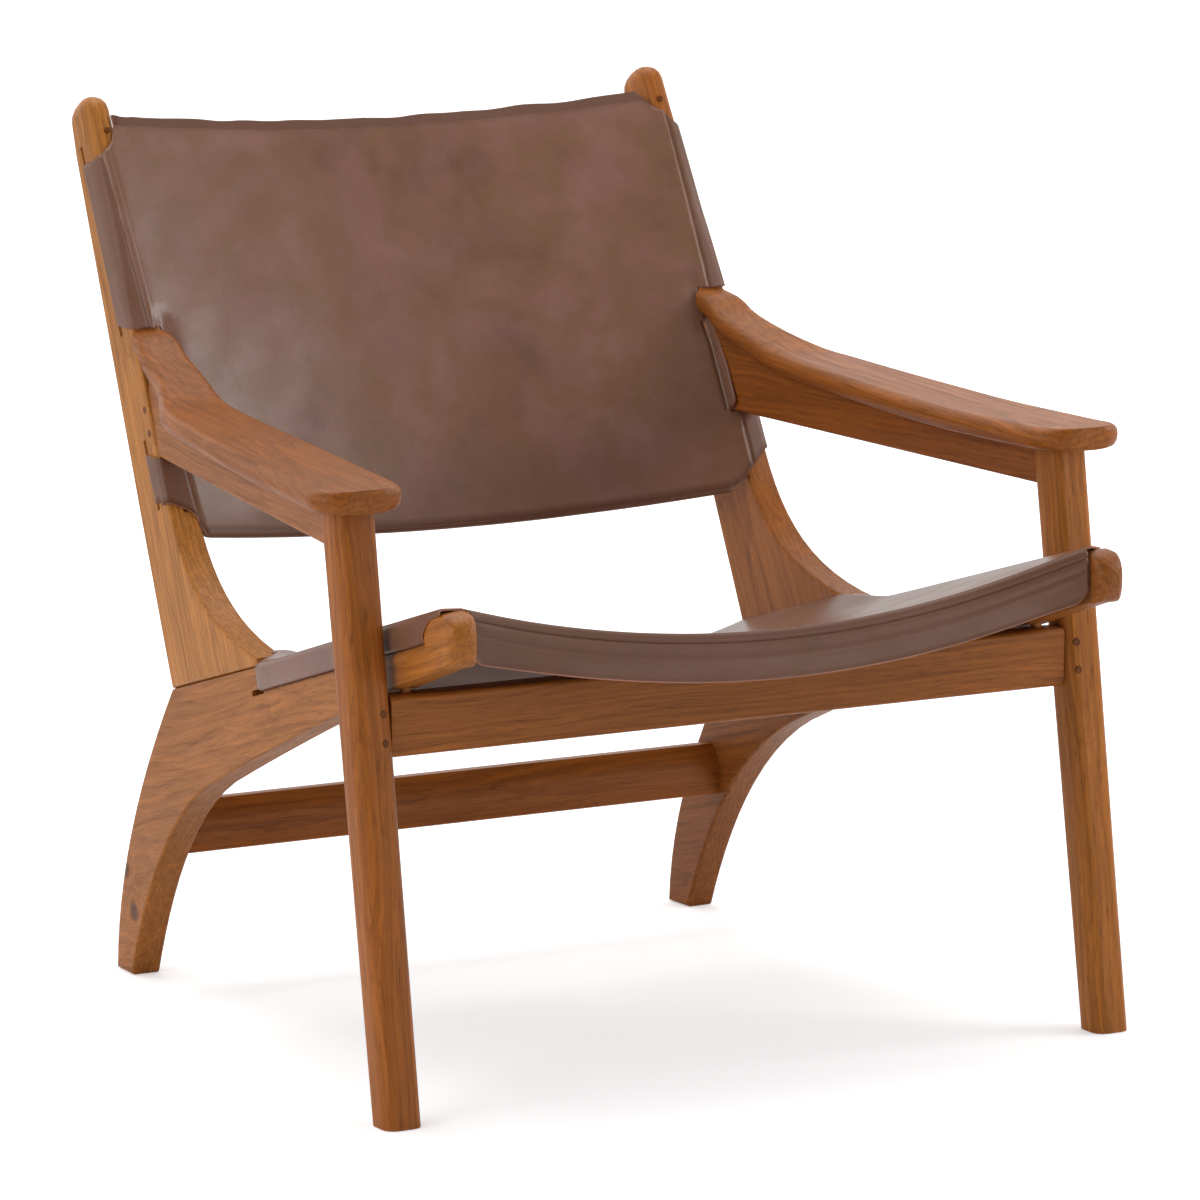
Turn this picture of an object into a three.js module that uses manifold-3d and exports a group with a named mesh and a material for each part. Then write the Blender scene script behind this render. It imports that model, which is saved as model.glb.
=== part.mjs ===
// Leather sling lounge chair: a teak frame with two leather slings tucked into slots.
// Millimetres, z up. The sitter faces -y, so the sitter's left side is at +x.
// Places are measured back (y) and up (z) from the middle of the front feet on the floor.

import * as THREE from 'three';
import { mergeVertices } from 'three/addons/utils/BufferGeometryUtils.js';
import Module from 'manifold-3d';

const wasm = await Module();
wasm.setup();

const degree = Math.PI / 180;
const quarterTurn = Math.PI / 2;

// Fits
const fit = 0.3; // gap between pieces that touch
const overrun = 30; // how far a cut runs past the wood
const roundSteps = 14; // sides of a dowel or peg

// Width over the side frames
const frameHalfSpan = 312; // middle of the plank above the front feet

// Front legs
const legOutset = 37; // middle of the leg outside the plank's middle
const frontLegHalfSpan = frameHalfSpan + legOutset;
const frontLegHeight = 506;
const frontLegSetBack = 83; // the top lies this far behind the foot
const frontLegTopSize = 38;
const frontLegFootSize = 35;
const frontLegCorner = 11;

// Side frames: two upright planks each, toed in toward the back
const frameToe = 2.1 * degree;
const frameThickness = 28;
const frameEdge = 3; // rounding of the plank's edges
const edgeSteps = 2;
const curveSteps = 12;

// Side rail and rear leg
const railHeight = 424.3; // top line of the rail above the front feet
const railPitch = 16.2 * degree;
const footPitch = 15.4 * degree; // the same line behind the post's toe
const noseReach = 60;
const noseChin = 19; // from the nose's tip back to the start of the underside
const noseDepth = 48;
const noseBrow = 30; // from the nose's tip back to the start of the top line
const noseMiddle = 23; // height of the nose's tip over its chin
const noseCorner = 12; // rounding of the nose seen from above, at its tip
const noseCornerLeast = 0.5; // and at the chin and the brow
const noseSteps = 5;
const heelBack = 507; // rear corner where the post meets the rail
const rearFootBack = 639;
const rearFootWidth = 35;
const archBack = 430; // where the underside turns down into the leg
const archDrop = 218.3;
const archHeight = railHeight - archDrop;
const legBackShares = [0.97, 0.56];
const archLowShares = [0.167, 0.364];
const archHighShares = [0.454, 0.777];
const undersideShares = [0.531, 0.593];

// Back post
const postReach = 390.9; // along the front edge, to the height of the rear edge's end
const postTopDepth = 46;
const postRearRake = 24.35 * degree;
const postFrontRake = 27.1 * degree;
const flareBack = 512; // where the straight front edge turns into the foot
const flareDrop = 60; // below the top of the front leg
const flareHeight = frontLegHeight - flareDrop;
const toeBack = 326; // tip of the post's foot on the rail
const toeDepth = 7;
const flareLowShares = [0.573, 0.098];
const flareHighShares = [0.833, 0.446];
const postShaftStart = 2; // where the lofted shaft starts above the flare
const crownDomeHeight = 17;
const crownShift = 3.5; // the rounded top stands this far behind the shaft's middle
const crownDrop = 14.9;
const crownStart = postReach - crownDrop; // along the post's front edge
// share of the way to the crown, roundness of the section's front and rear, share of the shift
const postSectionShares = [
  [0, 16, 16, 0],
  [0.4, 12, 14, 0],
  [0.505, 6.5, 12, 0],
  [0.64, 3.6, 9, 0.1],
  [0.8, 2.9, 7, 0.3],
  [0.92, 2.6, 5, 0.7],
  [1, 2.6, 3, 1],
];
const crownShares = [0.35, 0.65, 0.87, 0.985];
const sectionSteps = 7; // points in a quarter of the section

// Leather, its slots and the splines that lock it
const leather = 2.2;
const slotWidth = 5;
const slotDepth = 14;
const tuckDepth = 12;
const hug = 0.55; // gap between leather and the post's rounded section
const splineThickness = 1.9;
const splineRelief = 3; // how far a spline sits inside the slot's mouth
const wrapSteps = 2; // steps round each plank edge
const spanShares = [0.99, 0.9, 0.8, 0.7, 0.6, 0.5, 0.4, 0.3, 0.2, 0.1, 0];

// Back sling, measured along the straight front edge of the post
const backLow = -31;
const backFlapLow = 9;
const backFlapHighDrop = 61.9; // below the end of the post
const backFlapHigh = postReach - backFlapHighDrop;
const backHighDrop = 24.9;
const backHigh = postReach - backHighDrop;
const backSlotRunout = 20;
const backSlotRunoutAtArm = 9;
const backSlotInsetLow = 21;
const backSlotInsetHigh = 30;
const backNotchDepth = 11; // depth at which the corner cuts turn down to the flaps
const backBow = 40;
const backLeave = 106 * degree; // lie of the post's surface where the leather leaves it
const backWrapTurns = [8, 25, 50, 75, 92].map((turn) => turn * degree);
const backFlareLift = 2.2;
const backSteps = 10;

// Seat sling, measured back along the top line of the rail
const seatFlapFront = -4;
const seatFront = -19;
// how much farther forward the edge lies at the rails
const seatFrontFlares = { left: -22, right: -8 };
const seatFrontFlarePower = 6;
const seatCornerFront = -16; // front edge of the leather on the rail's outer corner
const seatFlapRear = 322;
const seatRear = 495; // between the posts
const seatSlotRunout = 18;
const seatSlotInset = 22;
const seatSagFront = 43;
const seatSagRear = 23;
const seatSagPower = 7; // it hangs as deep as in front until close to its rear edge
const seatSteps = 9;
const bandDrop = 38;
const bandDropFlare = 6; // how much deeper the band is at the rails
const bandLean = 8;
const bandLeanFlare = -8;
const bandRadius = 6;
const bandGap = 0.6; // between the band and the rail's inner face
const bandReach = 60;
const bandCreep = 0.4; // how far each row of the band moves on over the rail's top
const bandRoundSteps = 4;

// Armrest paddle
const armTip = 38;
const armHalfWidth = 43;
const armThickness = 20;
const armLegGap = 0.5; // over the front leg
const armTop = frontLegHeight + armLegGap + armThickness;
const armRise = 73;
const armRear = flareBack + (armTop + armRise - flareHeight) * Math.tan(postFrontRake);
const armEdge = 9;
const armEdgeSteps = 4;
const armCorner = 34; // depth of the rounded front end
const armCornerPower = 2.4;
const armCornerShares = [0.03, 0.12, 0.27, 0.5, 0.76];
const armSteps = 22;
// along the arm from its tip, inner half width, outer half width, rise
const armShares = [
  [0.065, 1.03, 0.97, 0],
  [0.275, 1.03, 1, 0.03],
  [0.435, 0.9, 1.02, 0.09],
  [0.57, 0.76, 1.02, 0.15],
  [0.7, 0.64, 1, 0.22],
  [0.76, 0.62, 0.8, 0.29],
  [0.835, 0.64, 0.52, 0.46],
  [0.91, 0.6, 0.43, 0.64],
  [0.945, 0.56, 0.4, 0.79],
  [0.985, 0.51, 0.38, 0.86],
  [1.03, 0.5, 0.37, 0.92],
];

// Arm rail under the paddle
const armRailThickness = 26;
const armRailEdge = 2;
const armRailDepthFront = 35; // below the top of the front leg
const armRailDepthRear = 22;
const armRailLowFront = frontLegHeight - armRailDepthFront;
const armRailLowRear = frontLegHeight - armRailDepthRear;
const armRailSteps = 18;
const armTenonThickness = 12;
const armTenonHeight = 40;
const armTenonDepth = 16;
const armTenonLift = 12; // tenon's foot over the rail's lower edge
const legTenonHeight = 20;
const legTenonDepth = 13;
const legTenonLift = 6;

// The back leather's notches round the arm
const armNotchDrop = 1; // below the arm rail
const armNotchLow = armRailLowRear - armNotchDrop;
const armNotchInset = 1.5; // leather cut back past the post's inner face at the arm rail
const paddleNotchDrop = 37.5; // below the paddle's rear end
const paddleNotchLow = armTop + armRise - paddleNotchDrop;
const paddleNotchInset = 8.2; // the same at the paddle
const armNotchCap = 7; // below the paddle's rear end
const armNotchHigh = armTop + armRise - armNotchCap;
const armAlong = (armRailLowRear - flareHeight) / Math.cos(postFrontRake);
const flapUnderArm = 14.3;
const flapOverArm = 132.3;
const backFlapBelowArm = armAlong + flapUnderArm;
const backFlapAboveArm = armAlong + flapOverArm;

// Front apron and rear stretcher
const apronDrop = 72.3; // below the rail's top line above the front feet
const apronTop = railHeight - apronDrop;
const apronHeight = 52;
const apronThickness = 24;
const apronEdge = 5;
const apronTenonThickness = 12;
const apronTenonHeight = 37;
const apronTenonDepth = 22;
const stretcherFront = 548;
const stretcherThickness = 24;
const stretcherLow = 119;
const stretcherHeight = 46;
const stretcherBevelRise = 17;
const stretcherBevelDepth = 12;
const stretcherEdge = 2;
const stretcherTenonThickness = 12;
const stretcherTenonHeight = 28;
const stretcherTenonDepth = 13;

// Dowels and pegs
const dowelRadius = 5;
const footDowelShares = [0.35, 0.72];
const footDowelUp = 18;
const footDowelDown = 30;
const railDowelBack = 3; // behind the apron's middle
const railDowelUp = 22;
const railDowelDown = 22;
const legDowelAhead = 9; // in front of the leg's middle, clear of the arm rail's tenon
const legDowelUp = 11;
const legDowelDown = 30;
const armDowelRadius = 4;
const armDowelUp = 11;
const armDowelDown = 16;
const armDowelShares = [0.35, 0.65];
const pegRadius = 3;
const apronPegInset = 9; // inward of the leg's middle
const apronPegShares = { lower: 0.288, upper: 0.75 }; // of the apron's height, from its foot
const apronPegLength = 26;
const armPegInset = 9; // behind the post's front edge
const armPegShares = { lower: 0.555, upper: 1.105 }; // of the tenon's height, from its foot
const armPegLength = 22;
const plugRadius = 2.4;
const plugLength = 9;
const plugDrop = 37.9; // below the end of the post
const plugPlaces = { upper: postReach - plugDrop, lower: -8 };
const plugInset = 2; // inward of the post's middle

// Materials
const teak = new THREE.MeshStandardMaterial({ color: '#a0683c', roughness: 0.42, metalness: 0 });
const teakDark = new THREE.MeshStandardMaterial({ color: '#8a5630', roughness: 0.45, metalness: 0 });
const dowelWood = new THREE.MeshStandardMaterial({ color: '#c79a66', roughness: 0.6, metalness: 0 });
const pegWood = new THREE.MeshStandardMaterial({ color: '#5d4232', roughness: 0.5, metalness: 0 });
const hide = new THREE.MeshStandardMaterial({ color: '#6e5143', roughness: 0.4, metalness: 0 });

// Helpers: solids, cuts and joins
function welded(geometry) {
  const bare = geometry.clone();
  bare.deleteAttribute('normal');
  bare.deleteAttribute('uv');
  return mergeVertices(bare);
}

function toSolid(geometry) {
  const merged = welded(geometry);
  const vertProperties = new Float32Array(merged.attributes.position.array);
  const triVerts = new Uint32Array(merged.index.array);
  return new wasm.Manifold(new wasm.Mesh({ numProp: 3, vertProperties, triVerts }));
}

function toGeometry(solid) {
  const mesh = solid.getMesh();
  const geometry = new THREE.BufferGeometry();
  geometry.setAttribute('position', new THREE.BufferAttribute(mesh.vertProperties, mesh.numProp));
  geometry.setIndex(new THREE.BufferAttribute(mesh.triVerts, 1));
  geometry.computeVertexNormals();
  return geometry;
}

function shaped(geometry, cuts, joins = []) {
  let solid = toSolid(geometry);
  for (const cut of cuts) {
    solid = solid.subtract(toSolid(cut));
  }
  for (const join of joins) {
    solid = solid.add(toSolid(join));
  }
  return toGeometry(solid);
}

function mirrored(geometry) {
  const flipped = welded(geometry);
  flipped.applyMatrix4(new THREE.Matrix4().makeScale(-1, 1, 1));
  const index = flipped.index.array;
  for (let i = 0; i < index.length; i += 3) {
    [index[i], index[i + 1]] = [index[i + 1], index[i]];
  }
  flipped.computeVertexNormals();
  return flipped;
}

function block(matrix, across, along, up, extra = 0) {
  const size = [across, along, up].map(([low, high]) => high - low + 2 * extra);
  const middle = [across, along, up].map(([low, high]) => (low + high) / 2);
  return new THREE.BoxGeometry(...size).translate(...middle).applyMatrix4(matrix);
}

function pin(start, end, radius) {
  const axis = end.clone().sub(start);
  const turn = new THREE.Quaternion();
  turn.setFromUnitVectors(new THREE.Vector3(0, 1, 0), axis.clone().normalize());
  const place = new THREE.Matrix4();
  place.compose(start.clone().lerp(end, 0.5), turn, new THREE.Vector3(1, 1, 1));
  return new THREE.CylinderGeometry(radius, radius, axis.length(), roundSteps).applyMatrix4(place);
}

function pinHole(start, end, radius, startExtra = fit) {
  const axis = end.clone().sub(start).normalize();
  const from = start.clone().addScaledVector(axis, -startExtra);
  const to = end.clone().addScaledVector(axis, fit);
  return pin(from, to, radius + fit);
}

// A board: an outline drawn in its plane, centred on its thickness, with rounded edges
function board(shape, thickness, edge) {
  const geometry = new THREE.ExtrudeGeometry(shape, {
    depth: thickness - 2 * edge,
    bevelEnabled: true,
    bevelThickness: edge,
    bevelSize: edge,
    bevelOffset: -edge,
    bevelSegments: edgeSteps,
    curveSegments: curveSteps,
  });
  geometry.translate(0, 0, edge - thickness / 2);
  return geometry;
}

// A closed skin over rings of equal count, with a flat cap on the first and last ring
function loft(rings) {
  const count = rings[0].length;
  const positions = [];
  const index = [];
  for (const ring of rings) {
    for (const point of ring) {
      positions.push(point.x, point.y, point.z);
    }
  }
  for (let r = 0; r + 1 < rings.length; r += 1) {
    for (let i = 0; i < count; i += 1) {
      const a = r * count + i;
      const b = r * count + ((i + 1) % count);
      index.push(a, b, a + count, b, b + count, a + count);
    }
  }
  const last = (rings.length - 1) * count;
  for (let i = 1; i + 1 < count; i += 1) {
    index.push(0, i + 1, i, last, last + i, last + i + 1);
  }
  return indexed(positions, index);
}

function indexed(positions, index) {
  const geometry = new THREE.BufferGeometry();
  geometry.setAttribute('position', new THREE.Float32BufferAttribute(positions, 3));
  geometry.setIndex(index);
  geometry.computeVertexNormals();
  return geometry;
}

// A sheet with thickness: two grids of points, over[k][i] outside and under[k][i] inside
function sheet(over, under) {
  const rows = over.length;
  const columns = over[0].length;
  const positions = [];
  const index = [];
  for (const grid of [over, under]) {
    for (const row of grid) {
      for (const point of row) {
        positions.push(point.x, point.y, point.z);
      }
    }
  }
  const top = (k, i) => k * columns + i;
  const low = (k, i) => rows * columns + k * columns + i;
  const quad = (a, b, c, d) => index.push(a, c, b, a, d, c);
  for (let k = 0; k + 1 < rows; k += 1) {
    for (let i = 0; i + 1 < columns; i += 1) {
      quad(top(k, i), top(k, i + 1), top(k + 1, i + 1), top(k + 1, i));
      quad(low(k, i), low(k + 1, i), low(k + 1, i + 1), low(k, i + 1));
    }
    quad(top(k, 0), top(k + 1, 0), low(k + 1, 0), low(k, 0));
    const end = columns - 1;
    quad(top(k, end), low(k, end), low(k + 1, end), top(k + 1, end));
  }
  for (let i = 0; i + 1 < columns; i += 1) {
    quad(top(0, i), low(0, i), low(0, i + 1), top(0, i + 1));
    const end = rows - 1;
    quad(top(end, i), top(end, i + 1), low(end, i + 1), low(end, i));
  }
  return indexed(positions, index);
}

// A rounded rectangle: half sizes, corner radius, as [across, up] pairs, counterclockwise
function roundedRectangle(left, right, low, high, corner, steps) {
  const corners = [
    [right - corner, high - corner, 0],
    [left + corner, high - corner, 1],
    [left + corner, low + corner, 2],
    [right - corner, low + corner, 3],
  ];
  const points = [];
  for (const [across, up, turn] of corners) {
    for (let i = 0; i <= steps; i += 1) {
      const angle = (turn + i / steps) * quarterTurn;
      points.push([across + corner * Math.cos(angle), up + corner * Math.sin(angle)]);
    }
  }
  return points;
}

// The side frame's own axes: x out from the plank's middle, y back, z up
const sideFrame = new THREE.Matrix4().makeRotationZ(frameToe).setPosition(frameHalfSpan, 0, 0);
const frameFace = frameThickness / 2;
// A plank's outline is drawn in (y, z), then stood up in the side frame
const standUp = new THREE.Matrix4().makeBasis(
  new THREE.Vector3(0, 1, 0),
  new THREE.Vector3(0, 0, 1),
  new THREE.Vector3(1, 0, 0),
);

// Axes along an edge of the plank: x out, y along the edge, z square to it
function edgeAxes(back, up, angle) {
  return new THREE.Matrix4().makeRotationX(angle).setPosition(0, back, up);
}

const railLine = (back) => railHeight - back * Math.tan(railPitch);
const footLine = (back) => railLine(toeBack) - (back - toeBack) * Math.tan(footPitch);
const railAxes = edgeAxes(0, railHeight, -railPitch);
const footAxes = edgeAxes(toeBack, railLine(toeBack), -footPitch);
const postAngle = quarterTurn - postFrontRake;
const postAxes = edgeAxes(flareBack, flareHeight, postAngle);
const postTaper = Math.tan(postFrontRake - postRearRake);
const postDepth = (along) => (postReach - along) * postTaper + postTopDepth;

const inSide = (axes) => sideFrame.clone().multiply(axes);
const at = (axes, across, along, up) => new THREE.Vector3(across, along, up).applyMatrix4(axes);

// A control point of a curve between two corners, as shares of the way across and up
function between(start, end, shares) {
  return [start[0] + (end[0] - start[0]) * shares[0], start[1] + (end[1] - start[1]) * shares[1]];
}

// Slots: a straight groove in the plank's outer face, between two places beside an edge
function slotAxes(axes, start, end) {
  const from = at(axes, 0, start[0], start[1]);
  const to = at(axes, 0, end[0], end[1]);
  return edgeAxes(from.y, from.z, Math.atan2(to.z - from.z, to.y - from.y));
}

function slotCut(axes, start, end) {
  const length = Math.hypot(end[0] - start[0], end[1] - start[1]);
  const across = [frameFace - slotDepth, frameFace + overrun];
  return block(slotAxes(axes, start, end), across, [0, length], [-slotWidth / 2, slotWidth / 2]);
}

function splineStrip(axes, start, end) {
  const length = Math.hypot(end[0] - start[0], end[1] - start[1]);
  const low = fit - slotWidth / 2;
  const across = [frameFace - tuckDepth, frameFace - splineRelief];
  return block(slotAxes(axes, start, end), across, [0, length], [low, low + splineThickness]);
}

const backSlotInset = (along) => backSlotInsetLow
  + ((backSlotInsetHigh - backSlotInsetLow) * (along - backFlapLow)) / (backFlapHigh - backFlapLow);
const backSlotPlace = (along) => [along, -backSlotInset(along)];
const backSlots = {
  lower: [backFlapLow - backSlotRunoutAtArm, backFlapBelowArm + backSlotRunoutAtArm],
  upper: [backFlapAboveArm - backSlotRunoutAtArm, backFlapHigh + backSlotRunout],
};
const backFlaps = {
  lower: [backFlapLow, backFlapBelowArm],
  upper: [backFlapAboveArm, backFlapHigh],
};
const alongRail = (back) => back / Math.cos(railPitch);
const seatSlot = [alongRail(seatFlapFront) - fit, alongRail(seatFlapRear) + seatSlotRunout];
const seatFlap = [alongRail(seatFlapFront) + fit, alongRail(seatFlapRear)];

// Front legs
const legHalf = (up) => (frontLegFootSize
  + ((frontLegTopSize - frontLegFootSize) * up) / frontLegHeight) / 2;
const legMiddle = (up) => (frontLegSetBack * up) / frontLegHeight;

function legSkin(extra, above) {
  const rings = [0, frontLegHeight + above].map((up) => {
    const half = legHalf(up) + extra;
    const points = roundedRectangle(-half, half, -half, half, frontLegCorner + extra, armEdgeSteps);
    return points.map(([across, back]) => new THREE.Vector3(
      frontLegHalfSpan + across,
      legMiddle(up) + back,
      up,
    ));
  });
  return loft(rings);
}

// Armrest sections from the tip to the post
function armSections() {
  const widths = new THREE.CatmullRomCurve3(armShares.map((row) => new THREE.Vector3(...row)));
  const rises = new THREE.CatmullRomCurve3(armShares.map((row) => new THREE.Vector3(row[3], 0, 0)));
  widths.curveType = 'catmullrom';
  rises.curveType = 'catmullrom';
  const length = armRear - armTip;
  const middleAt = (back) => {
    const share = (back - frontLegSetBack) / (armRear - frontLegSetBack);
    const rearSpan = frameHalfSpan - armRear * Math.tan(frameToe);
    return frontLegHalfSpan + (rearSpan - frontLegHalfSpan) * share;
  };
  const sections = [];
  for (const share of armCornerShares) {
    const back = armTip + share * armCorner;
    const width = armHalfWidth * (1 - (1 - share) ** armCornerPower) ** (1 / armCornerPower);
    sections.push({ back, left: middleAt(back) - width, right: middleAt(back) + width, top: armTop });
  }
  for (let i = 0; i <= armSteps; i += 1) {
    const row = widths.getPoint(i / armSteps);
    const rise = rises.getPoint(i / armSteps).x;
    const back = armTip + row.x * length;
    sections.push({
      back,
      left: middleAt(back) - row.y * armHalfWidth,
      right: middleAt(back) + row.z * armHalfWidth,
      top: armTop + rise * armRise,
    });
  }
  sections.forEach((section, i) => {
    const before = sections[Math.max(i - 1, 0)];
    const after = sections[Math.min(i + 1, sections.length - 1)];
    const slope = (after.top - before.top) / (after.back - before.back);
    section.low = section.top - armThickness * Math.hypot(1, slope);
  });
  return sections;
}

const arm = armSections();

function armUnderside(back) {
  const next = arm.findIndex((section) => section.back > back);
  const a = arm[next - 1];
  const b = arm[next];
  return a.low + ((b.low - a.low) * (back - a.back)) / (b.back - a.back);
}

// Everything behind the post's front edge, for trimming what butts against it
function behindPost(gap) {
  const reach = frontLegHeight;
  return block(inSide(postAxes), [-reach, reach], [-reach, reach], [-reach, gap]);
}

// Arm rail axes: x along it toward the back, y up, z out
const armRailFrom = new THREE.Vector2(frontLegHalfSpan, legMiddle(armRailLowFront));
const armRailRear = flareBack + (armRailLowRear - flareHeight) * Math.tan(postFrontRake);
const armRailTo = new THREE.Vector2(frameHalfSpan - armRailRear * Math.tan(frameToe), armRailRear);
const armRailRun = armRailTo.clone().sub(armRailFrom);
const armRailAngle = Math.atan2(-armRailRun.x, armRailRun.y);
const armRailAxes = new THREE.Matrix4().makeBasis(
  new THREE.Vector3(-Math.sin(armRailAngle), Math.cos(armRailAngle), 0),
  new THREE.Vector3(0, 0, 1),
  new THREE.Vector3(Math.cos(armRailAngle), Math.sin(armRailAngle), 0),
).setPosition(armRailFrom.x, armRailFrom.y, 0);
const armRailLength = armRailRun.length();
const armRailLow = (along) => armRailLowFront
  + ((armRailLowRear - armRailLowFront) * along) / armRailLength;

const postTenonFrom = (armRailLowRear - flareHeight) * Math.cos(postFrontRake) + armTenonLift;
function postTenon(extra) {
  const across = [-armTenonThickness / 2, armTenonThickness / 2];
  const along = [postTenonFrom, postTenonFrom + armTenonHeight];
  return block(inSide(postAxes), across, along, [-armTenonDepth, armRailThickness], extra);
}

function legTenon(extra) {
  const rearFace = legHalf(armRailLowFront) / Math.cos(armRailAngle);
  const low = armRailLowFront + legTenonLift;
  const along = [rearFace - legTenonDepth, rearFace + armRailThickness];
  const across = [-armTenonThickness / 2, armTenonThickness / 2];
  return block(armRailAxes, along, [low, low + legTenonHeight], across, extra);
}

const apronFront = legMiddle(apronTop - apronHeight / 2) - apronThickness / 2;
const apronEnd = frontLegHalfSpan - legHalf(apronTop) - fit;
function apronTenon(extra) {
  const middleBack = apronFront + apronThickness / 2;
  const middleUp = apronTop - apronHeight / 2;
  return block(
    new THREE.Matrix4(),
    [apronEnd - apronThickness, apronEnd + apronTenonDepth],
    [middleBack - apronTenonThickness / 2, middleBack + apronTenonThickness / 2],
    [middleUp - apronTenonHeight / 2, middleUp + apronTenonHeight / 2],
    extra,
  );
}

const stretcherMiddle = stretcherFront + stretcherThickness / 2;
const stretcherInner = frameHalfSpan - stretcherMiddle * Math.tan(frameToe) - frameFace;
function stretcherTenon(extra) {
  const middleUp = stretcherLow + stretcherHeight / 2;
  return block(
    new THREE.Matrix4(),
    [stretcherInner - stretcherThickness, stretcherInner + stretcherTenonDepth],
    [stretcherMiddle - stretcherTenonThickness / 2, stretcherMiddle + stretcherTenonThickness / 2],
    [middleUp - stretcherTenonHeight / 2, middleUp + stretcherTenonHeight / 2],
    extra,
  );
}

// Dowels and pegs, as start and end points on the sitter's left side
const footDowels = footDowelShares.map((share) => {
  const along = ((heelBack - toeBack) * share) / Math.cos(footPitch);
  return [at(footAxes, 0, along, footDowelUp), at(footAxes, 0, along, -footDowelDown)];
});
const apronMiddle = apronFront + apronThickness / 2 + railDowelBack;
const railDowelSpan = frameHalfSpan - apronMiddle * Math.tan(frameToe);
const railDowel = [
  new THREE.Vector3(railDowelSpan, apronMiddle, apronTop + railDowelUp),
  new THREE.Vector3(railDowelSpan, apronMiddle, apronTop - railDowelDown),
];
const legDowelBack = frontLegSetBack - legDowelAhead;
const legDowel = [
  new THREE.Vector3(frontLegHalfSpan, legDowelBack, frontLegHeight + legDowelUp),
  new THREE.Vector3(frontLegHalfSpan, legDowelBack, frontLegHeight - legDowelDown),
];
const armDowels = armDowelShares.map((share) => {
  const base = at(armRailAxes, armRailLength * share, 0, 0);
  const joint = armUnderside(base.y);
  return [
    base.clone().setZ(joint + armDowelUp),
    base.clone().setZ(joint - armDowelDown),
  ];
});
const apronPegs = Object.values(apronPegShares).map((share) => {
  const up = apronTop - apronHeight * (1 - share);
  const front = new THREE.Vector3(frontLegHalfSpan - apronPegInset, legMiddle(up) - legHalf(up), up);
  return [front, front.clone().setY(front.y + apronPegLength)];
});
const armPegPlaces = Object.values(armPegShares).map((share) => (
  postTenonFrom + armTenonHeight * share));
const armPegs = armPegPlaces.map((along) => [
  at(postAxes, frameFace, along, -armPegInset),
  at(postAxes, frameFace - armPegLength, along, -armPegInset),
]);
const postPlug = (along) => {
  const face = along < 0 ? backFlareLift * (along / backLow) ** 2 : 0;
  return [at(postAxes, -plugInset, along, face), at(postAxes, -plugInset, along, -plugLength)];
};

const sideToFrame = sideFrame.clone().invert();
const toFrame = (geometry) => geometry.applyMatrix4(sideToFrame);

// The nose seen from the side: where its underside starts, its tip, where its top line starts
function noseProfile() {
  const chinBack = noseChin - noseReach;
  const chin = new THREE.Vector2(chinBack, railLine(chinBack) - noseDepth);
  const tip = new THREE.Vector2(-noseReach, chin.y + noseMiddle);
  const brow = new THREE.Vector2(noseBrow - noseReach, railLine(noseBrow - noseReach));
  return { chin, tip, brow };
}

// What comes off the plank's outer corner to round the nose: most at the tip, next to nothing at
// the chin and the brow
function noseCornerCut() {
  const { chin, tip, brow } = noseProfile();
  const outer = frameFace + overrun;
  const under = new THREE.QuadraticBezierCurve(chin, new THREE.Vector2(tip.x, chin.y), tip);
  const over = new THREE.QuadraticBezierCurve(tip, new THREE.Vector2(tip.x, brow.y), brow);
  const places = [...under.getPoints(curveSteps), ...over.getPoints(curveSteps).slice(1)];
  return loft(places.map(({ x: front, y: up }, place) => {
    const share = Math.sin((Math.PI * place) / (places.length - 1));
    const corner = noseCornerLeast + (noseCorner - noseCornerLeast) * share;
    const inset = frameFace - corner;
    const ring = [[inset, front - overrun], [outer, front - overrun], [outer, front + corner]];
    for (let i = 0; i <= noseSteps; i += 1) {
      const angle = (quarterTurn * i) / noseSteps;
      ring.push([inset + corner * Math.cos(angle), front + corner - corner * Math.sin(angle)]);
    }
    return ring.map(([across, back]) => new THREE.Vector3(across, back, up));
  }));
}

// Side rail with the rear leg, in the side frame's axes
function sideRail() {
  const heel = [heelBack, footLine(heelBack)];
  const footBack = [rearFootBack, 0];
  const footFront = [rearFootBack - rearFootWidth, 0];
  const arch = [archBack, archHeight];
  const [chin, tip, brow] = Object.values(noseProfile()).map((point) => point.toArray());
  const shape = new THREE.Shape();
  shape.moveTo(...heel);
  shape.lineTo(toeBack, railLine(toeBack));
  shape.lineTo(...brow);
  shape.quadraticCurveTo(tip[0], brow[1], ...tip);
  shape.quadraticCurveTo(tip[0], chin[1], ...chin);
  shape.quadraticCurveTo(...between(arch, chin, undersideShares), ...arch);
  const low = between(footFront, arch, archLowShares);
  const high = between(footFront, arch, archHighShares);
  shape.bezierCurveTo(...high, ...low, ...footFront);
  shape.lineTo(...footBack);
  shape.quadraticCurveTo(...between(heel, footBack, legBackShares), ...heel);
  const plank = board(shape, frameThickness, frameEdge).applyMatrix4(standUp);
  const apronSeat = block(
    new THREE.Matrix4(),
    [-frontLegHalfSpan, frontLegHalfSpan],
    [apronFront - fit, apronFront + apronThickness + fit],
    [0, apronTop + fit],
  );
  const cuts = [
    slotCut(railAxes, [seatSlot[0], -seatSlotInset], [seatSlot[1], -seatSlotInset]),
    ...footDowels.map(([start, end]) => pinHole(start, end, dowelRadius)),
    toFrame(pinHole(...railDowel, dowelRadius)),
    toFrame(stretcherTenon(fit)),
    toFrame(apronSeat),
    noseCornerCut(),
    mirrored(noseCornerCut()),
  ];
  return shaped(plank, cuts);
}

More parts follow.
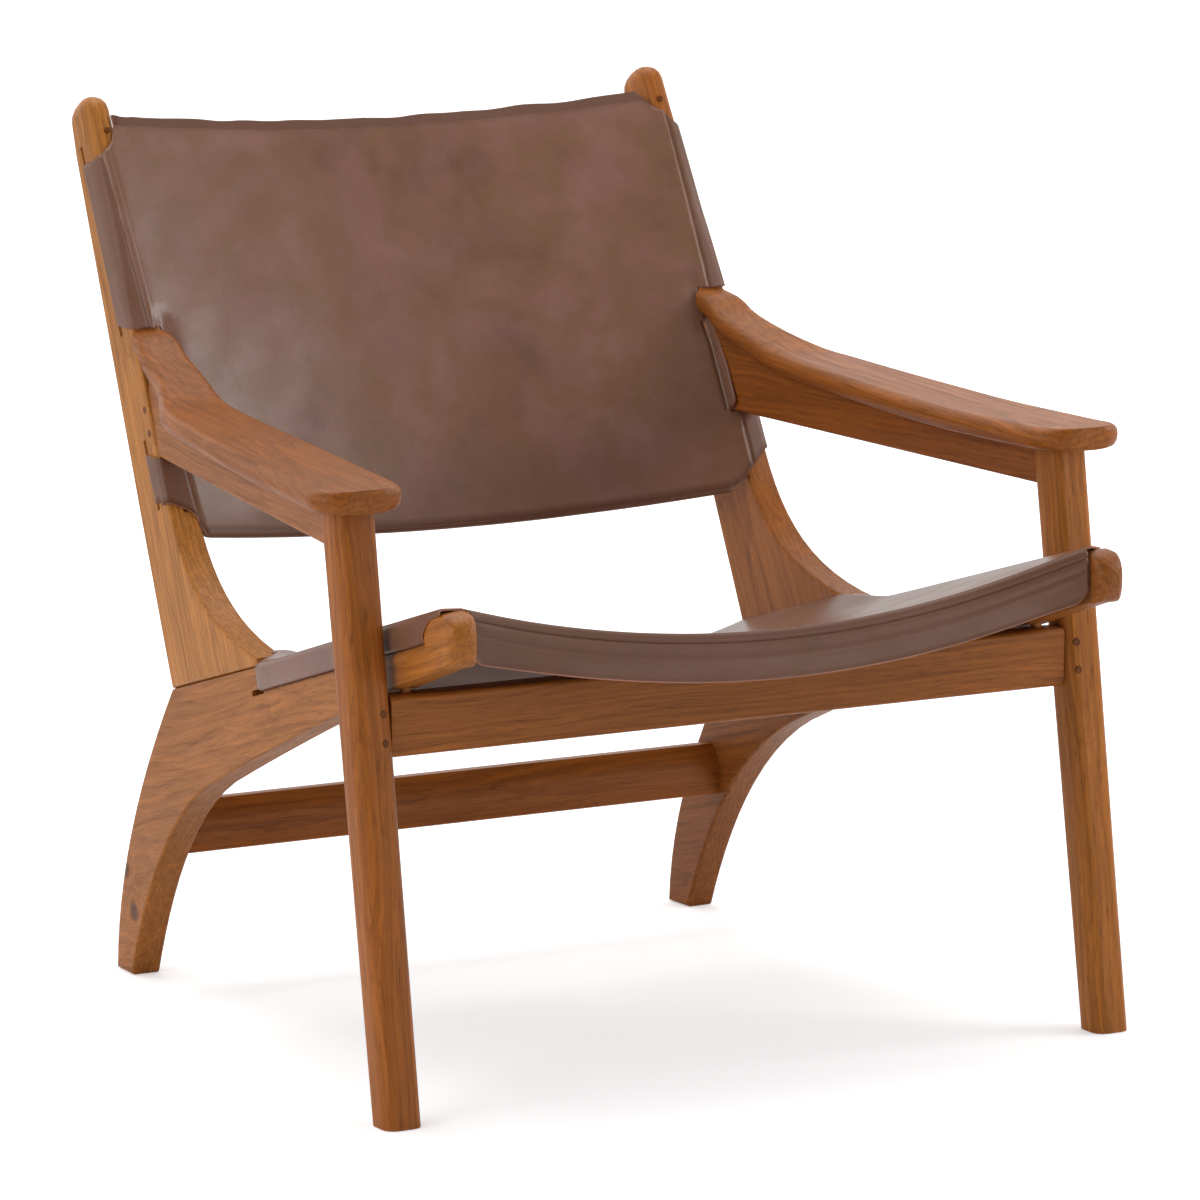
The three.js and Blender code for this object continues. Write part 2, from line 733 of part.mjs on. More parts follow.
// The post's section at a place along its front edge: a rectangle rounded by two powers
function postSection(along) {
  const place = along / crownStart;
  const last = postSectionShares.length - 1;
  const found = postSectionShares.findIndex((row) => row[0] > place);
  const b = postSectionShares[found < 0 ? last : Math.max(found, 1)];
  const a = postSectionShares[found < 0 ? last - 1 : Math.max(found, 1) - 1];
  const share = Math.min(1, Math.max(0, (place - a[0]) / (b[0] - a[0])));
  const [, front, rear, shift] = b.map((value, i) => a[i] + (value - a[i]) * share);
  const half = postDepth(along) / 2;
  return { half, front, rear, middle: -half - crownShift * shift };
}

// The section's point whose surface faces a turn from straight out, moved out by a gap
function sectionPoint({ half, front, rear, middle }, turn, gap) {
  const facing = [Math.cos(turn), Math.sin(turn)];
  const power = facing[1] > 0 ? front : rear;
  const steep = Math.abs((half * facing[1]) / (frameFace * facing[0])) ** (power / (2 * power - 2));
  const angle = Math.atan(steep);
  const across = Math.sign(facing[0]) * frameFace * Math.cos(angle) ** (2 / power);
  const deep = Math.sign(facing[1]) * half * Math.sin(angle) ** (2 / power);
  return [across + gap * facing[0], middle + deep + gap * facing[1]];
}

// The half thickness of the section at a depth behind the post's front edge
function sectionFace({ half, front, rear, middle }, depth) {
  const share = (-depth - middle) / half;
  const power = share > 0 ? front : rear;
  return frameFace * (1 - Math.abs(share) ** power) ** (1 / power);
}

function postShaft() {
  const rows = postSectionShares.map(([share]) => [Math.max(crownStart * share, postShaftStart), 1]);
  for (const share of crownShares) {
    rows.push([crownStart + crownDomeHeight * share, Math.sqrt(1 - share ** 2)]);
  }
  const rings = rows.map(([along, size]) => {
    const section = postSection(along);
    const ring = [];
    for (let i = 0; i < 4 * sectionSteps; i += 1) {
      const turn = (quarterTurn * (i + 0.5)) / sectionSteps;
      const [across, up] = sectionPoint(section, turn, 0);
      ring.push(at(postAxes, across * size, along, section.middle + (up - section.middle) * size));
    }
    return ring.reverse();
  });
  return loft(rings);
}

// Back post, in the side frame's axes
function backPost() {
  const lift = fit / Math.cos(footPitch);
  const heel = [heelBack, footLine(heelBack) + lift];
  const toe = [toeBack, footLine(toeBack) + lift];
  const toeTop = [toeBack, toe[1] + toeDepth];
  const flare = [flareBack, flareHeight];
  const shoulder = at(postAxes, 0, 0, -postDepth(0));
  const shape = new THREE.Shape();
  const high = between(toeTop, flare, flareHighShares);
  const low = between(toeTop, flare, flareLowShares);
  const seam = at(postAxes, 0, 2 * postShaftStart, 0);
  const seamRear = at(postAxes, 0, 2 * postShaftStart, -postDepth(2 * postShaftStart));
  shape.moveTo(...flare);
  shape.bezierCurveTo(...high, ...low, ...toeTop);
  shape.lineTo(...toe);
  shape.lineTo(...heel);
  shape.lineTo(shoulder.y, shoulder.z);
  shape.lineTo(seamRear.y, seamRear.z);
  shape.lineTo(seam.y, seam.z);
  const foot = board(shape, frameThickness, frameEdge).applyMatrix4(standUp);
  const plank = shaped(foot, [], [postShaft()]);
  const slots = Object.values(backSlots).map(([from, to]) => (
    slotCut(postAxes, backSlotPlace(from), backSlotPlace(to))));
  const plugs = Object.values(plugPlaces).map((along) => (
    pinHole(...postPlug(along), plugRadius, overrun)));
  const cuts = [
    ...slots,
    ...plugs,
    ...footDowels.map(([start, end]) => pinHole(start, end, dowelRadius)),
    ...armPegs.map(([start, end]) => pinHole(start, end, pegRadius, overrun)),
    toFrame(postTenon(fit)),
  ];
  return shaped(plank, cuts);
}

// Front leg, in the chair's axes
function frontLeg() {
  const cuts = [
    legTenon(fit),
    apronTenon(fit),
    pinHole(...legDowel, dowelRadius),
    ...apronPegs.map(([start, end]) => pinHole(start, end, pegRadius, overrun)),
  ];
  return shaped(legSkin(0, 0), cuts);
}

function armrestSkin() {
  const rings = arm.map(({ back, left, right, low, top }) => {
    const reach = Math.min((right - left) / 2, (top - low) / 2);
    const edge = Math.min(armEdge, reach);
    const points = roundedRectangle(left, right, low, top, edge, armEdgeSteps);
    return points.map(([across, up]) => new THREE.Vector3(across, back, up)).reverse();
  });
  return loft(rings);
}

function armrest() {
  const cuts = [
    behindPost(fit),
    pinHole(...legDowel, dowelRadius),
    ...armDowels.map(([start, end]) => pinHole(start, end, armDowelRadius)),
  ];
  return shaped(armrestSkin(), cuts);
}

function armRail() {
  const shape = new THREE.Shape();
  const reach = armRailLength + armRailThickness;
  shape.moveTo(0, armRailLow(0));
  for (let i = 0; i <= armRailSteps; i += 1) {
    const along = (reach * i) / armRailSteps;
    const back = at(armRailAxes, along, 0, 0).y;
    shape.lineTo(along, armUnderside(back) + armThickness / 2);
  }
  shape.lineTo(reach, armRailLow(reach));
  const body = board(shape, armRailThickness, armRailEdge).applyMatrix4(armRailAxes);
  const trims = [behindPost(fit), legSkin(fit, overrun), armrestSkin().translate(0, 0, -fit)];
  const trimmed = shaped(body, trims, [postTenon(0), legTenon(0)]);
  const cuts = [
    ...armDowels.map(([start, end]) => pinHole(start, end, armDowelRadius)),
    ...armPegs.map(([start, end]) => pinHole(start, end, pegRadius).applyMatrix4(sideFrame)),
  ];
  return shaped(trimmed, cuts);
}

// A bar across the chair from a section drawn in (y, z)
function crossBar(points, halfLength, edge) {
  const shape = new THREE.Shape(points.map(([back, up]) => new THREE.Vector2(back, up)));
  return board(shape, 2 * halfLength, edge).applyMatrix4(standUp);
}

function frontApron() {
  const rear = apronFront + apronThickness;
  const section = roundedRectangle(
    apronFront,
    rear,
    apronTop - apronHeight,
    apronTop,
    apronEdge,
    edgeSteps,
  );
  const bar = crossBar(section, apronEnd, fit);
  const cuts = [
    pinHole(...railDowel, dowelRadius),
    ...apronPegs.map(([start, end]) => pinHole(start, end, pegRadius)),
  ];
  const bothCuts = cuts.flatMap((cut) => [cut, mirrored(cut)]);
  const tenon = apronTenon(0);
  return shaped(shaped(bar, [], [tenon, mirrored(tenon)]), bothCuts);
}

function rearStretcher() {
  const rear = stretcherFront + stretcherThickness;
  const top = stretcherLow + stretcherHeight;
  const section = [
    [stretcherFront, stretcherLow + stretcherEdge],
    [stretcherFront + stretcherEdge, stretcherLow],
    [rear - stretcherEdge, stretcherLow],
    [rear, stretcherLow + stretcherEdge],
    [rear, top - stretcherEdge],
    [rear - stretcherEdge, top],
    [stretcherFront + stretcherBevelDepth, top],
    [stretcherFront, top - stretcherBevelRise],
  ];
  const bar = crossBar(section, stretcherInner + frameThickness, fit);
  const outside = block(
    sideFrame,
    [-frameFace - fit, overrun + frameThickness],
    [0, rearFootBack],
    [0, railHeight],
  );
  const tenon = stretcherTenon(0);
  return shaped(bar, [outside, mirrored(outside)], [tenon, mirrored(tenon)]);
}

// Leather: half a wrap, from the tucked edge round the plank's outer face to its inner edge
function halfWrap(slotInset) {
  const tuck = slotWidth / 2 - fit - slotInset;
  const face = frameFace + fit;
  const bend = frameEdge + fit;
  const under = [[frameFace - tuckDepth, tuck], [face, tuck]];
  const over = [[frameFace - tuckDepth, tuck - leather], [face + leather, tuck - leather]];
  for (let i = 0; i <= wrapSteps; i += 1) {
    const angle = (quarterTurn * i) / wrapSteps;
    for (const [list, radius] of [[under, bend], [over, bend + leather]]) {
      const across = frameFace - frameEdge + radius * Math.cos(angle);
      list.push([across, radius * Math.sin(angle) - frameEdge]);
    }
  }
  under.push([frameEdge - frameFace, fit]);
  over.push([frameEdge - frameFace, fit + leather]);
  return { under, over };
}

// The same round the back post's rounded section
function halfPostWrap(along, lift) {
  const section = postSection(along);
  const tuck = slotWidth / 2 - fit - backSlotInset(along);
  const inside = frameFace - tuckDepth;
  const under = [[inside, tuck], [sectionFace(section, -tuck) + hug, tuck]];
  const over = [
    [inside, tuck - leather],
    [sectionFace(section, leather - tuck) + hug + leather, tuck - leather],
  ];
  for (const turn of [...backWrapTurns, backLeave]) {
    for (const [list, gap] of [[under, hug], [over, hug + leather]]) {
      const [across, up] = sectionPoint(section, turn, gap);
      list.push([across, up + lift]);
    }
  }
  return { under, over };
}

// One row of a sling: a wrap and a bowed half span on each side
function slingRow(axes, wrap, wrapAlong, alongAt, bow, moveAt) {
  const place = inSide(axes);
  const normal = new THREE.Vector3().setFromMatrixColumn(axes, 2);
  const [edgeAcross, edgeUp] = wrap[wrap.length - 1];
  const halves = [1, -1].map((side) => {
    const points = wrap.map(([across, up]) => at(place, across, wrapAlong(side), up));
    const edge = points[points.length - 1];
    for (const share of spanShares) {
      const point = at(place, edgeAcross, alongAt(side * share), edgeUp).setX(edge.x * share);
      point.addScaledVector(normal, -bow * (1 - share ** 2));
      points.push(point.add(moveAt(side * share)));
    }
    return points.map((point) => point.setX(side * point.x));
  });
  return [...halves[0], ...halves[1].slice(0, -1).reverse()];
}

const unmoved = () => new THREE.Vector3();

// A cut through the leather: an outline in (out, along), run square to the edge
function leatherCut(axes, points, low, high) {
  const shape = new THREE.Shape(points.map(([across, along]) => new THREE.Vector2(across, along)));
  const cut = new THREE.ExtrudeGeometry(shape, { depth: high - low, bevelEnabled: false });
  return cut.translate(0, 0, low).applyMatrix4(inSide(axes));
}

const stepsBetween = (low, high, steps) => (
  Array.from({ length: steps + 1 }, (unused, i) => low + ((high - low) * i) / steps));

function backSling() {
  const places = stepsBetween(backLow, backHigh, backSteps);
  const rows = places.map((along) => {
    const lift = along < 0 ? backFlareLift * (along / backLow) ** 2 : 0;
    const wrap = halfPostWrap(along, lift);
    return [wrap.over, wrap.under].map((half) => (
      slingRow(postAxes, half, () => along, () => along, backBow, unmoved)));
  });
  const body = sheet(rows.map((row) => row[0]), rows.map((row) => row[1]));
  const outer = frameFace + overrun;
  const inner = -frameFace;
  const deep = -backSlotInsetHigh - overrun;
  const shallow = -backNotchDepth;
  const notches = [
    // above and below the flaps on the outer face, and in the slots
    [[[inner, backFlapHigh], [outer, backFlapHigh], [outer, backHigh + overrun],
      [inner, backHigh + overrun]], deep, shallow],
    [[[inner, backLow - overrun], [outer, backLow - overrun], [outer, backFlapLow],
      [inner, backFlapLow]], deep, shallow],
    // cut corners across the post's front face
    [[[inner, backHigh], [frameFace, backFlapHigh - frameEdge], [outer, backFlapHigh - frameEdge],
      [outer, backHigh + overrun], [inner, backHigh + overrun]], shallow - fit, overrun],
    [[[inner, backLow], [inner, backLow - overrun], [outer, backLow - overrun],
      [outer, backFlapLow], [frameFace, backFlapLow]], shallow - fit, overrun],
  ];
  const depth = [flareBack - overrun, at(postAxes, 0, postReach, -postTopDepth).y];
  const armSpan = [inner - armNotchInset, outer];
  const paddleSpan = [inner - paddleNotchInset, outer];
  const cuts = [
    ...notches.map(([points, low, high]) => leatherCut(postAxes, points, low, high)),
    block(sideFrame, armSpan, depth, [armNotchLow, armNotchHigh]),
    block(sideFrame, paddleSpan, depth, [paddleNotchLow, armNotchHigh]),
  ];
  return shaped(body, cuts.flatMap((cut) => [cut, mirrored(cut)]));
}

// The seat's front edge is turned down as a band between the rails
const seatFlare = (share) => Math.abs(share) ** seatFrontFlarePower;
const seatFrontAt = (share) => (
  seatFront + seatFrontFlares[share > 0 ? 'left' : 'right'] * seatFlare(share));

// Moves from the seat's front edge to the band's rows, from its foot up, at a depth in the leather
function bandMoves(share, depth) {
  const drop = bandDrop + bandDropFlare * seatFlare(share);
  const lean = bandLean + bandLeanFlare * seatFlare(share);
  const moves = [new THREE.Vector3(0, depth - bandRadius - lean, -drop)];
  const radius = bandRadius - depth;
  for (let i = bandRoundSteps; i > 0; i -= 1) {
    const angle = quarterTurn * (1 + i / bandRoundSteps);
    moves.push(new THREE.Vector3(0, radius * Math.cos(angle), radius * Math.sin(angle) - radius));
  }
  return moves;
}

function seatSling() {
  const rear = alongRail(seatRear);
  const wrap = halfWrap(seatSlotInset);
  const edgeAt = (share) => alongRail(seatFrontAt(share));
  const layers = [[wrap.over, 0], [wrap.under, leather]];
  const rows = [];
  for (let i = 0; i <= bandRoundSteps; i += 1) {
    const creep = bandCreep * (bandRoundSteps + 1 - i);
    rows.push(layers.map(([half, depth]) => (
      slingRow(railAxes, half, (side) => edgeAt(side) - creep, edgeAt, seatSagFront, (share) => (
        bandMoves(share, depth)[i])))));
  }
  for (const part of stepsBetween(0, 1, seatSteps)) {
    const sag = seatSagFront + (seatSagRear - seatSagFront) * part ** seatSagPower;
    const alongAt = (share) => edgeAt(share) + (rear - edgeAt(share)) * part;
    rows.push(layers.map(([half]) => (
      slingRow(railAxes, half, alongAt, alongAt, sag, unmoved))));
  }
  const body = sheet(rows.map((row) => row[0]), rows.map((row) => row[1]));
  const outer = frameFace + overrun;
  const flapFront = alongRail(seatFlapFront);
  const cornerFront = alongRail(seatCornerFront);
  const flapRear = alongRail(seatFlapRear);
  const deep = -seatSlotInset - overrun;
  const cutsFor = (front) => {
    const past = front - overrun;
    const faceNotch = [[-frameFace, past], [outer, past], [outer, flapFront],
      [-frameFace, flapFront]];
    const cornerNotch = [[-frameFace, front], [-frameFace, past], [outer, past],
      [outer, cornerFront], [frameFace, cornerFront]];
    const rearNotch = [[-frameFace - fit, flapRear], [outer, flapRear], [outer, rear + overrun],
      [-frameFace - fit, rear + overrun]];
    const across = [-frameFace - bandGap, 0];
    const edge = -frameEdge - fit - leather;
    return [
      leatherCut(railAxes, faceNotch, deep, edge),
      leatherCut(railAxes, cornerNotch, edge - fit, overrun),
      leatherCut(railAxes, rearNotch, deep, overrun),
      block(inSide(railAxes), across, [front - bandReach, front + bandRadius], [-bandReach, -fit]),
    ];
  };
  return shaped(body, [...cutsFor(edgeAt(1)), ...cutsFor(edgeAt(-1)).map(mirrored)]);
}

// Assembly
const chair = new THREE.Group();
chair.name = 'sling_lounge_chair';

function addMesh(parent, name, geometry, material) {
  const mesh = new THREE.Mesh(geometry, material);
  mesh.name = name;
  parent.add(mesh);
}

for (const [sideName, side] of [['left', 1], ['right', -1]]) {
  const sided = (geometry) => (side > 0 ? geometry : mirrored(geometry));
  const frame = new THREE.Group();
  frame.position.x = side * frameHalfSpan;
  frame.rotation.z = side * frameToe;
  chair.add(frame);
  const inFrame = (name, geometry, material) => {
    addMesh(frame, `${name}_${sideName}`, sided(geometry), material);
  };
  const inChair = (name, geometry, material) => {
    addMesh(chair, `${name}_${sideName}`, sided(geometry), material);
  };

  inFrame('side_rail', sideRail(), teak);
  inFrame('back_post', backPost(), teak);
  for (const [place, [low, high]] of Object.entries(backFlaps)) {
    const strip = splineStrip(postAxes, backSlotPlace(low), backSlotPlace(high));
    inFrame(`back_spline_${place}`, strip, dowelWood);
  }
  const seatStrip = splineStrip(railAxes, [seatFlap[0], -seatSlotInset], [seatFlap[1], -seatSlotInset]);
  inFrame('seat_spline', seatStrip, dowelWood);
  footDowels.forEach(([start, end], i) => {
    inFrame(`post_foot_dowel_${['front', 'rear'][i]}`, pin(start, end, dowelRadius), dowelWood);
  });
  armPegs.forEach(([start, end], i) => {
    inFrame(`arm_peg_${['lower', 'upper'][i]}`, pin(start, end, pegRadius), pegWood);
  });
  for (const [place, along] of Object.entries(plugPlaces)) {
    inFrame(`post_plug_${place}`, pin(...postPlug(along), plugRadius), pegWood);
  }

  inChair('front_leg', frontLeg(), teak);
  inChair('armrest', armrest(), teak);
  inChair('arm_rail', armRail(), teak);
  inChair('leg_dowel', pin(...legDowel, dowelRadius), dowelWood);
  inChair('rail_dowel', pin(...railDowel, dowelRadius), dowelWood);
  armDowels.forEach(([start, end], i) => {
    inChair(`arm_dowel_${['front', 'rear'][i]}`, pin(start, end, armDowelRadius), dowelWood);
  });
  apronPegs.forEach(([start, end], i) => {
    inChair(`apron_peg_${['lower', 'upper'][i]}`, pin(start, end, pegRadius), pegWood);
  });
}
addMesh(chair, 'front_apron', frontApron(), teakDark);
addMesh(chair, 'rear_stretcher', rearStretcher(), teakDark);
addMesh(chair, 'back_sling', backSling(), hide);
addMesh(chair, 'seat_sling', seatSling(), hide);

// The origin is on the floor under the middle of the chair's outer box
chair.updateMatrixWorld(true);
const middle = new THREE.Box3().setFromObject(chair).getCenter(new THREE.Vector3());
chair.position.set(-middle.x, -middle.y, 0);

export default chair;
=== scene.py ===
# Leather sling lounge chair: the looks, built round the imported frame
import math

import bmesh
import bpy
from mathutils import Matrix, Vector, noise


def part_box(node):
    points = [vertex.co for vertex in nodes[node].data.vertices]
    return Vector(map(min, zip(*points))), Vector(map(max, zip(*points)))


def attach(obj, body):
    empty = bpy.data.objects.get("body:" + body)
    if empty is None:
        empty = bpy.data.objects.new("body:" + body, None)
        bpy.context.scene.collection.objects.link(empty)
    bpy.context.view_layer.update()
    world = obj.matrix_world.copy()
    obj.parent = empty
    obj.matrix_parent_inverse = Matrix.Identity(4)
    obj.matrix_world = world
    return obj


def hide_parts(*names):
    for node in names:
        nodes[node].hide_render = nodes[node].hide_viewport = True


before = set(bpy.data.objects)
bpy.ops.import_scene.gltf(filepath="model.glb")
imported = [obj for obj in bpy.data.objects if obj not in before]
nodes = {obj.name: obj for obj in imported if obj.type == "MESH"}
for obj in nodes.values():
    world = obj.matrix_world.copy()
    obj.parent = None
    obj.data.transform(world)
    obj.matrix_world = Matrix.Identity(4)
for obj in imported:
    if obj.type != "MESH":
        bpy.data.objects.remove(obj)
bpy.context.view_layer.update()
mm = 0.001
print("frame loaded,", len(nodes), "nodes")


# View and light
view = {
    "place": (-2.8995, -5.2310, 1.4130),
    "turn": (80.012, 0.0, -29.255),   # degrees
    "lens": 206.2,
}
light = {
    "backdrop": 1.0,                  # white paper behind the chair, as it lights and shines on it
    "room": 0.22,                     # the dimmer room behind the camera
    "roomEnds": (-0.45, 0.5),         # from room to backdrop, by how far a direction points back
    "aim": (0, 0, 0.4),               # what the lamps face
    "overhead": {"place": (0.0, 0.6, 2.8), "size": (2.6, 2.2), "power": 30},
    "leftBox": {"place": (-3.0, -0.9, 1.5), "size": (1.8, 1.8), "power": 28},
    "rightBox": {"place": (2.3, -1.0, 1.5), "size": (1.3, 1.3), "power": 26},
    "frontBox": {"place": (2.2, -3.6, 0.9), "size": (1.2, 1.2), "power": 13},
}
ground = {
    "reach": 12, "below": 0.5,        # metres each way, and mm under the feet
    "white": (0.9, 0.9, 0.9, 1),
    "nearGlow": 0.42,                 # near the chair, where its shadow has to show
    "farGlow": 0.85,
    "fade": (0.8, 3.0),               # metres from the middle, from one glow to the other
}


def toLinear(hexColour):
    parts = [int(hexColour[i:i + 2], 16) / 255 for i in (1, 3, 5)]
    return [p / 12.92 if p <= 0.04045 else ((p + 0.055) / 1.055) ** 2.4 for p in parts] + [1.0]


# Adds a node: settings by attribute name, inputs by socket name or number, and a link where the
# input is a socket
def addNode(tree, kind, settings=None, inputs=None):
    node = tree.nodes.new(kind)
    for name, value in (settings or {}).items():
        setattr(node, name, value)
    for key, value in (inputs or {}).items():
        socket = node.inputs[key]
        if isinstance(value, bpy.types.NodeSocket):
            tree.links.new(value, socket)
        else:
            socket.default_value = value
    return node


def newMaterial(name):
    material = bpy.data.materials.new(name)
    material.use_nodes = True
    tree = material.node_tree
    tree.nodes.clear()
    return material, tree


def setRamp(node, stops):
    ramp = node.color_ramp
    while len(ramp.elements) < len(stops):
        ramp.elements.new(0.5)
    for element, (place, colour) in zip(ramp.elements, stops):
        element.position = place
        element.color = toLinear(colour) if isinstance(colour, str) else (colour, colour, colour, 1)
    return node


def addObject(name, data):
    thing = bpy.data.objects.new(name, data)
    bpy.context.scene.collection.objects.link(thing)
    return thing


def meshFrom(name, bm):
    mesh = bpy.data.meshes.new(name)
    bm.to_mesh(mesh)
    bm.free()
    return mesh


def addCamera():
    data = bpy.data.cameras.new("view")
    data.lens = view["lens"]
    data.sensor_width = 36
    data.clip_end = 50
    camera = addObject("view", data)
    camera.location = view["place"]
    camera.rotation_euler = [math.radians(a) for a in view["turn"]]
    bpy.context.scene.camera = camera


def addSoftbox(name, place, size, power):
    lamp = bpy.data.lights.new(name, "AREA")
    lamp.shape = "RECTANGLE"
    lamp.size, lamp.size_y = size
    lamp.energy = power
    box = addObject(name, lamp)
    box.location = place
    way = Vector(light["aim"]) - Vector(place)
    box.rotation_euler = way.to_track_quat("-Z", "Y").to_euler()


# White to the eye. It lights the chair as a white paper backdrop in a dimmer room does
def addStudio():
    world = bpy.data.worlds.new("studio")
    world.use_nodes = True
    tree = world.node_tree
    tree.nodes.clear()
    path = addNode(tree, "ShaderNodeLightPath")
    seen = addNode(tree, "ShaderNodeBackground", None, {"Color": (1, 1, 1, 1), "Strength": 1.0})
    way = addNode(tree, "ShaderNodeTexCoord").outputs["Generated"]
    parts = addNode(tree, "ShaderNodeSeparateXYZ", None, {"Vector": way})
    level = addNode(tree, "ShaderNodeMapRange", {"interpolation_type": "SMOOTHSTEP"},
                    {"Value": parts.outputs["Y"], "From Min": light["roomEnds"][0],
                     "From Max": light["roomEnds"][1], "To Min": light["room"],
                     "To Max": light["backdrop"]})
    lit = addNode(tree, "ShaderNodeBackground", None,
                  {"Color": (1, 1, 1, 1), "Strength": level.outputs[0]})
    both = addNode(tree, "ShaderNodeMixShader", None,
                   {0: path.outputs["Is Camera Ray"], 1: lit.outputs[0], 2: seen.outputs[0]})
    addNode(tree, "ShaderNodeOutputWorld", None, {"Surface": both.outputs[0]})
    bpy.context.scene.world = world
    for name in ("overhead", "leftBox", "rightBox", "frontBox"):
        addSoftbox(name, **light[name])


# Pale floor: it glows only to the eye, which makes it white there, and it keeps the chair's shadow
def addFloor():
    bm = bmesh.new()
    bmesh.ops.create_grid(bm, x_segments=1, y_segments=1, size=ground["reach"])
    floor = addObject("floor", meshFrom("floor", bm))
    floor.location.z = -ground["below"] * mm
    material, tree = newMaterial("matt_white_paper")
    path = addNode(tree, "ShaderNodeLightPath")
    paper = addNode(tree, "ShaderNodeBsdfDiffuse", None, {"Color": ground["white"]})
    spot = addNode(tree, "ShaderNodeTexCoord").outputs["Object"]
    away = addNode(tree, "ShaderNodeVectorMath", {"operation": "LENGTH"}, {0: spot})
    fade = addNode(tree, "ShaderNodeMapRange", {"interpolation_type": "SMOOTHSTEP"},
                   {"Value": away.outputs["Value"], "From Min": ground["fade"][0],
                    "From Max": ground["fade"][1], "To Min": ground["nearGlow"],
                    "To Max": ground["farGlow"]})
    glow = addNode(tree, "ShaderNodeEmission", None,
                   {"Color": (1, 1, 1, 1), "Strength": fade.outputs[0]})
    lit = addNode(tree, "ShaderNodeAddShader", None, {0: paper.outputs[0], 1: glow.outputs[0]})
    both = addNode(tree, "ShaderNodeMixShader", None,
                   {0: path.outputs["Is Camera Ray"], 1: paper.outputs[0], 2: lit.outputs[0]})
    addNode(tree, "ShaderNodeOutputMaterial", None, {"Surface": both.outputs[0]})
    floor.data.materials.append(material)


bpy.context.scene.view_settings.view_transform = "Standard"
addCamera()
addStudio()
addFloor()
print("camera, light and floor placed")


# Teak, planed, oiled and rubbed: quiet brown growth rings, fine dark streaks and pores along the
# grain, and a satin sheen
teak = {
    "early": "#a66229",
    "late": "#8c4f21",
    "deep": "#713a15",
    "pore": "#45230f",
    "ring": 5.2,            # mm from one growth ring to the next
    "streak": 5.0,          # mm across one streak
    "poreWidth": 0.9,       # mm, drawn wider than the real third of a millimetre so that it shows
    "plainShare": 0.6,      # how far the rings fade into plain wood
    "sway": 28,             # mm that the grain wanders aside
    "swayPerMetre": 22.0,
    "driftPerMetre": 9.0,   # patches of lighter and darker wood
    "patchSquash": 0.16,    # draws sway and patches out along the grain
    "fibreSquash": 0.03,    # the same for streaks and pores
    "knotPush": 22,         # mm that a knot pushes the rings aside
    "knotEye": (0.8, 0.98),  # how near to a knot's middle the wood turns dark
    "roughness": 0.36,
    "smoothTurn": 50,       # degrees: a sharper edge stays crisp
    "flatTurn": 0.3,        # degrees: faces that turn less are joined
}


